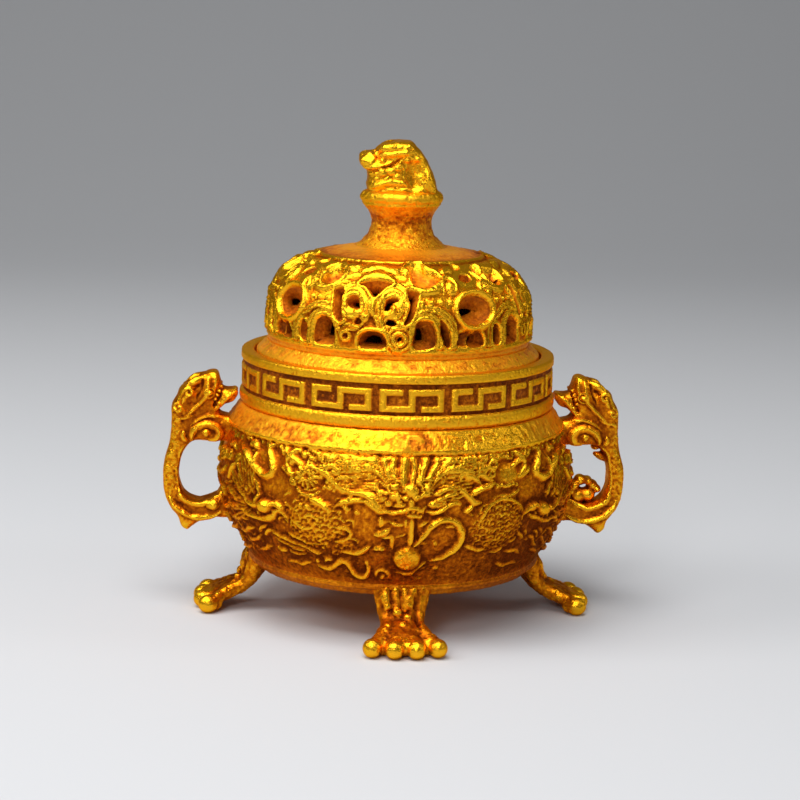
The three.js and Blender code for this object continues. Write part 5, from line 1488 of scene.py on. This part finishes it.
def handle_sheet(verts, right):
    sheet = Relief(np.abs(verts[:, 0]) + 0.15 * grain(verts, 1.6, 2),
                   verts[:, 2] + 0.15 * grain(verts, 1.6, 6))
    sheet.ropes(HANDLE_ROPES)
    sheet.groove(1.0, 0.7, (36.6, 48.4), (37.3, 46.8), (37.8, 45.2), (38.4, 43.8))
    sheet.groove(0.6, 0.35, (41, 49.4), (41.5, 47.4), (42.4, 45.4))
    sheet.boss(39.6, 46.6, 0.7, 0.6, 0.9)  # eye
    sheet.ring(39.6, 46.6, 1.0, 0.45, 0.5)
    sheet.curl(46, 43.3, 1.1, 90, -1.1, 0.55, 0.55)
    sheet.curl(44, 46.6, 1.2, 0, 1.1, 0.7, 0.7)
    sheet.boss(40.2, 38.1, 0.8, 0.7, 0.8)
    for k in range(4):
        sheet.boss(37.2 + 0.35 * k, 47.9 - 0.9 * k, 0.3, 0.35, 0.7)
        sheet.boss(35.2 + 0.8 * k, 46.6 - 0.75 * k, 0.3, 0.35, 0.55)
    # fine scales all over the back of the loop
    back = spline([(47, 41), (47.6, 37), (48.1, 32.6), (48.4, 29), (48, 25.6), (46.8, 23),
                   (45, 21.4)], steps=8)
    scales = grain(verts * (1.1, 1, 1), 0.48) + 0.6 * grain(verts, 0.9, 3)
    scales *= 1 - smooth(1.8, 2.6, to_line(sheet.at, back)[0])
    sheet.lines += 0.16 * scales * (sheet.at[:, 0] > 44)
    if not right:
        sheet.boss(38.6, 22.7, 1.4, 1.1, 1.0)
    return sheet.height()


def build_handle(name, right):
    clay = Clay((30.5, -4.6, 14.6), (51, 4.6, 53), 0.215)
    outline = [(BELLY_R + x, RIM + z) for x, z in DRAGON]
    clay.plate(outline, HANDLE_THICK, 1.6)
    clay.ball(43.8, 0, 46.4, 2.3, 3.45, 1.8, blend=1.2)
    clay.ball(45.4, 0, 43.2, 2.0, 3.4, 2.2, blend=1.2)
    clay.ball(40.2, 0, 47, 1.6, 3.4, 2.9, blend=1.2)
    clay.ball(40, 0, 38.2, 2.6, 3.5, 2.0, blend=0.8)
    for sign in (1, -1):
        clay.limb([(41, sign * 2.2, 49.6), (42.8, sign * 2.8, 48.9), (44.4, sign * 2.9, 47.6)],
                  [0.7, 0.85, 0.5], 0.6)  # horns
    if right:
        for x, y, z, r in ((39.4, 0, 24.9, 2.0), (41.6, 0, 25.2, 1.7), (38.6, 0, 27.2, 1.2),
                           (40, 0.6, 28.2, 1.25), (41.5, -0.4, 28.3, 1.0), (42.6, 0.3, 27.2, 1.2),
                           (43.6, 0, 26.4, 0.9), (37.8, 0, 26, 1.1)):
            clay.ball(x, y, z, r, 2.2, r * 0.95, blend=0.35)
        clay.limb([(45.6, 0, 33.4), (44.2, 0, 33.6), (43, 0, 34)], [1.2, 0.9, 0.5],
                  0.5, squash=(1, 1.8, 1))
        clay.ball(42.9, 0, 35.6, 0.9, 1.8, 0.7, blend=0.4)
    verts, faces = clay.skin()
    verts = sculpt(verts, faces, handle_sheet(verts, right), 0.7)
    # the bracket ends a little inside the bowl, and the head stands a little off the collar
    head_low, sunk, gap = 42.2, 0.25, 0.65
    r = np.hypot(verts[:, 0], verts[:, 1])
    on_bowl = bowl_radius(np.clip(verts[:, 2], UNDERSIDE, RIM)) - sunk
    seat = np.where(verts[:, 2] < head_low, on_bowl, COLLAR_R + gap)
    verts[:, :2] *= np.where(r < seat, seat / r, 1)[:, None]
    if not right:
        verts = verts * (-1, -1, 1)
    make(name, verts, [faces], "burner", "handle_right" if right else "handle_left",
         relief_brass, rough=0.035, crease=0.2)


build_handle("dragon_handle_right", True)
build_handle("dragon_handle_left", False)

# The beast on the lid
BEAST = [
    (-7.2, 0), (-7.3, 1.6), (-7.4, 3.9), (-8.4, 4.8), (-9.1, 5.9), (-8.6, 7.1), (-7.2, 7.8),
    (-5.8, 7.4), (-5.3, 8.3), (-4.4, 9.3), (-2.2, 10.1), (0, 10.3), (1.6, 10.2), (2.4, 9.3),
    (4, 7.9), (5.3, 5.5), (6.3, 3.1), (7.1, 0.7), (7.1, -1.4), (-7, -1.4),
]
BEAST_ROPES = [
    (1.1, 0.6, (-8.8, 95.6), (-8.6, 96.8), (-7.4, 97.3), (-6.4, 96.7), (-6.8, 95.9)),  # snout curl
    (0.9, 0.5, (-8.4, 94.8), (-6.2, 94.5), (-4.2, 95.2), (-2.4, 96.1)),  # lip
    (1.9, 0.7, (-5.2, 98.2), (-3.2, 99), (-0.6, 99.3), (1.8, 98.9)),  # crown
    (1.2, 0.6, (-5.6, 96.9), (-4, 97.3), (-2.2, 97.4), (0.4, 97.9), (2.2, 97.7)),
    (1.9, 0.5, (1.8, 98.4), (3.3, 96.8), (4.6, 94.4), (5.6, 92), (6.4, 89.8)),  # spine
    (1.4, 0.6, (-6.4, 90.6), (-4, 91.5), (-1.4, 91.7), (1, 91)),  # fore leg
    (1.7, 0.8, (-6.8, 89), (-3, 89.5), (0, 89.8), (3.4, 89.4), (7, 89)),
    (0.7, 0.4, (-0.4, 97.2), (-1, 95.8), (-0.2, 94.6)),
    (0.8, 0.4, (-6.4, 94), (-5.6, 92.9), (-6, 91.8)),
]


def build_beast():
    clay = Clay((-10.6, -6.6, 88.2), (8.6, 6.6, 101.2), 0.19)
    base = BEAST_BASE
    clay.plate([(x, base + z) for x, z in BEAST], 9.4, 2.6)
    for sign in (1, -1):
        clay.ball(-1.6, sign * 3.0, base + 1.0, 5.2, 2.2, 1.5, blend=0.7)
        clay.ball(3.9, sign * 2.8, base + 2.0, 2.5, 2.4, 2.6, blend=0.8)
        clay.ball(-3, sign * 2.6, base + 8.2, 2.2, 1.8, 1.5, blend=0.7)
        clay.ball(-4.4, sign * 3.0, base + 4.4, 2.4, 1.9, 1.8, blend=0.7)
        clay.limb([(-8, sign * 1.2, base + 6.9), (-6, sign * 2.4, base + 7.4),
                   (-4.6, sign * 2.8, base + 8.4)], [1.0, 0.8, 0.5], 0.5)
        clay.limb([(1.4, sign * 1.4, base + 9.6), (2.8, sign * 2.4, base + 7.6),
                   (4.2, sign * 3, base + 4.8), (5.5, sign * 3.2, base + 1.8)],
                  [0.6, 0.9, 0.9, 0.7], 0.5)
    clay.below(BEAST_LOW)
    verts, faces = clay.skin()
    sheet = Relief(verts[:, 0] + 0.2 * grain(verts, 1.5, 2), verts[:, 2] + 0.2 * grain(verts, 1.5, 6))
    sheet.ropes(BEAST_ROPES)
    sheet.groove(0.6, 0.6, (-8.6, 94.2), (-6.6, 93.9), (-4.4, 94.6), (-2, 95.6), (-0.6, 96.7))
    sheet.boss(-4.7, 96.2, 0.55, 0.5, 0.8)
    sheet.boss(2.3, 93.2, 2.3, 3.4, -0.7)
    for x, z, r in ((-4.6, 93.6, 0.9), (-2.8, 93.9, 1.0), (-3.8, 92.3, 0.8), (-1.6, 92.9, 0.9),
                    (-1.4, 94.6, 0.8), (-5.8, 92.6, 0.6), (0.6, 96.3, 0.6), (2.6, 96.4, 0.6)):
        sheet.boss(x, z, r, r * 0.8, 0.55)
    verts = sculpt(verts, faces, sheet.height(), 0.6)
    cast = 0.16 * grain(verts, 1.5, 1.1) + 0.08 * grain(verts, 0.7, 6.2)
    verts = verts + normals_of(verts, [faces]) * cast[:, None]
    verts[:, 2] = np.minimum(verts[:, 2], CROWN)
    # painted light: the whole beast's colour lightened
    make("beast_knob", verts, [faces], "lid", "knob_beast", rubbed_brass, rough=0.03,
         crease=0.3, wear_and_painted_light=0.26)


build_beast()


# The fastenings, from the model
def metal(name, colour, other, rough, bump_size):
    """Plain metal, a little worn, with fine turning marks."""
    material, tree, shader = new_material(name)
    place = node_of(tree, "ShaderNodeTexCoord").outputs["Object"]
    shader.inputs["Metallic"].default_value = 1.0
    wear_and_painted_light = noise(tree, place, 420.0, 4.0)
    tree.links.new(ramp_of(tree, wear_and_painted_light, (0.35, other), (0.65, colour)), shader.inputs["Base Color"])
    tree.links.new(ramp_of(tree, wear_and_painted_light, (0.3, rough + 0.15), (0.7, rough)),
                   shader.inputs["Roughness"])
    add_bumps(tree, shader, noise(tree, place, 2600.0, 2.0), 0.3, bump_size)
    return material


steel = metal("fastener_steel", (0.56, 0.55, 0.52), (0.38, 0.36, 0.33), 0.3, 0.00006)
washer = metal("washer_brass", (0.72, 0.42, 0.11), (0.45, 0.2, 0.05), 0.36, 0.0001)
for name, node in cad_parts.items():
    if "screw" in name or "washer" in name:
        node.data.materials.clear()
        node.data.materials.append(washer if "washer" in name else steel)


# The studio
def build_backdrop():
    """A floor that sweeps up into a wall behind the burner."""
    wide, bend = 2.4, 0.7
    sweep = [(-1.6, 0.0), (0.55, 0.0)]
    for degrees in range(0, 91, 6):
        a = math.radians(degrees)
        sweep.append((0.6 + bend * math.sin(a), bend * (1 - math.cos(a))))
    sweep.append((1.3, 2.4))
    points = [(x, y, z) for y, z in sweep for x in (-wide, wide)]
    rows = [(2 * k, 2 * k + 1, 2 * k + 3, 2 * k + 2) for k in range(len(sweep) - 1)]
    mesh = bpy.data.meshes.new("backdrop")
    mesh.from_pydata(points, [], rows)
    mesh.shade_smooth()
    material, _, shader = new_material("backdrop")
    shader.inputs["Base Color"].default_value = (0.62, 0.63, 0.65, 1)
    shader.inputs["Roughness"].default_value = 0.85
    mesh.materials.append(material)
    into_scene("backdrop", mesh)


build_backdrop()
world = bpy.data.worlds.new("studio")
world.use_nodes = True
air = world.node_tree.nodes["Background"]
air.inputs["Color"].default_value = (0.66, 0.66, 0.66, 1)
air.inputs["Strength"].default_value = 0.22
bpy.context.scene.world = world

TARGET = Vector((0.0, 0.0, 0.05))  # what the camera and the lamps look at
LAMPS = {  # place, size across and along, power
    "key": ((-0.11, -0.27, 0.7), 0.6, 0.42, 4.2),
    "front": ((-0.22, -0.7, 0.42), 0.18, 0.18, 1.3),
    "left": ((-0.55, -0.1, 0.48), 0.26, 0.28, 1.3),
    "right": ((0.6, -0.1, 0.42), 0.2, 0.3, 0.4),
    "top": ((-0.2, 0.02, 0.74), 0.34, 0.26, 1.0),
}
for name, (place, across, along, power) in LAMPS.items():
    light = bpy.data.lights.new(name, "AREA")
    light.shape = "RECTANGLE"
    light.size, light.size_y = across, along
    light.energy = power
    lamp = into_scene(name, light)
    lamp.location = place
    lamp.rotation_mode = "QUATERNION"
    lamp.rotation_quaternion = (Vector(place) - TARGET).to_track_quat("Z", "Y")

# The photograph's camera
DISTANCE = 0.5
ELEVATION = 0.1687
AZIMUTH = math.radians(-4.5)
ROLL = 0.02773
FOCAL_PIXELS = 2358.3
FRAME_PIXELS = 800.0
TARGET_PIXEL = (397.15, 377.13)
back = Vector((
    math.sin(AZIMUTH) * math.cos(ELEVATION),
    -math.cos(AZIMUTH) * math.cos(ELEVATION),
    math.sin(ELEVATION),
))
lens = bpy.data.cameras.new("camera")
lens.sensor_width = 36.0
lens.lens = FOCAL_PIXELS * lens.sensor_width / FRAME_PIXELS
lens.shift_x = (FRAME_PIXELS / 2 - TARGET_PIXEL[0]) / FRAME_PIXELS
lens.shift_y = (TARGET_PIXEL[1] - FRAME_PIXELS / 2) / FRAME_PIXELS
camera = into_scene("camera", lens)
camera.location = TARGET + back * DISTANCE
camera.rotation_mode = "QUATERNION"
camera.rotation_quaternion = back.to_track_quat("Z", "Y") @ Quaternion((0, 0, 1), ROLL)
bpy.context.scene.camera = camera
bpy.context.scene.view_settings.view_transform = "Standard"
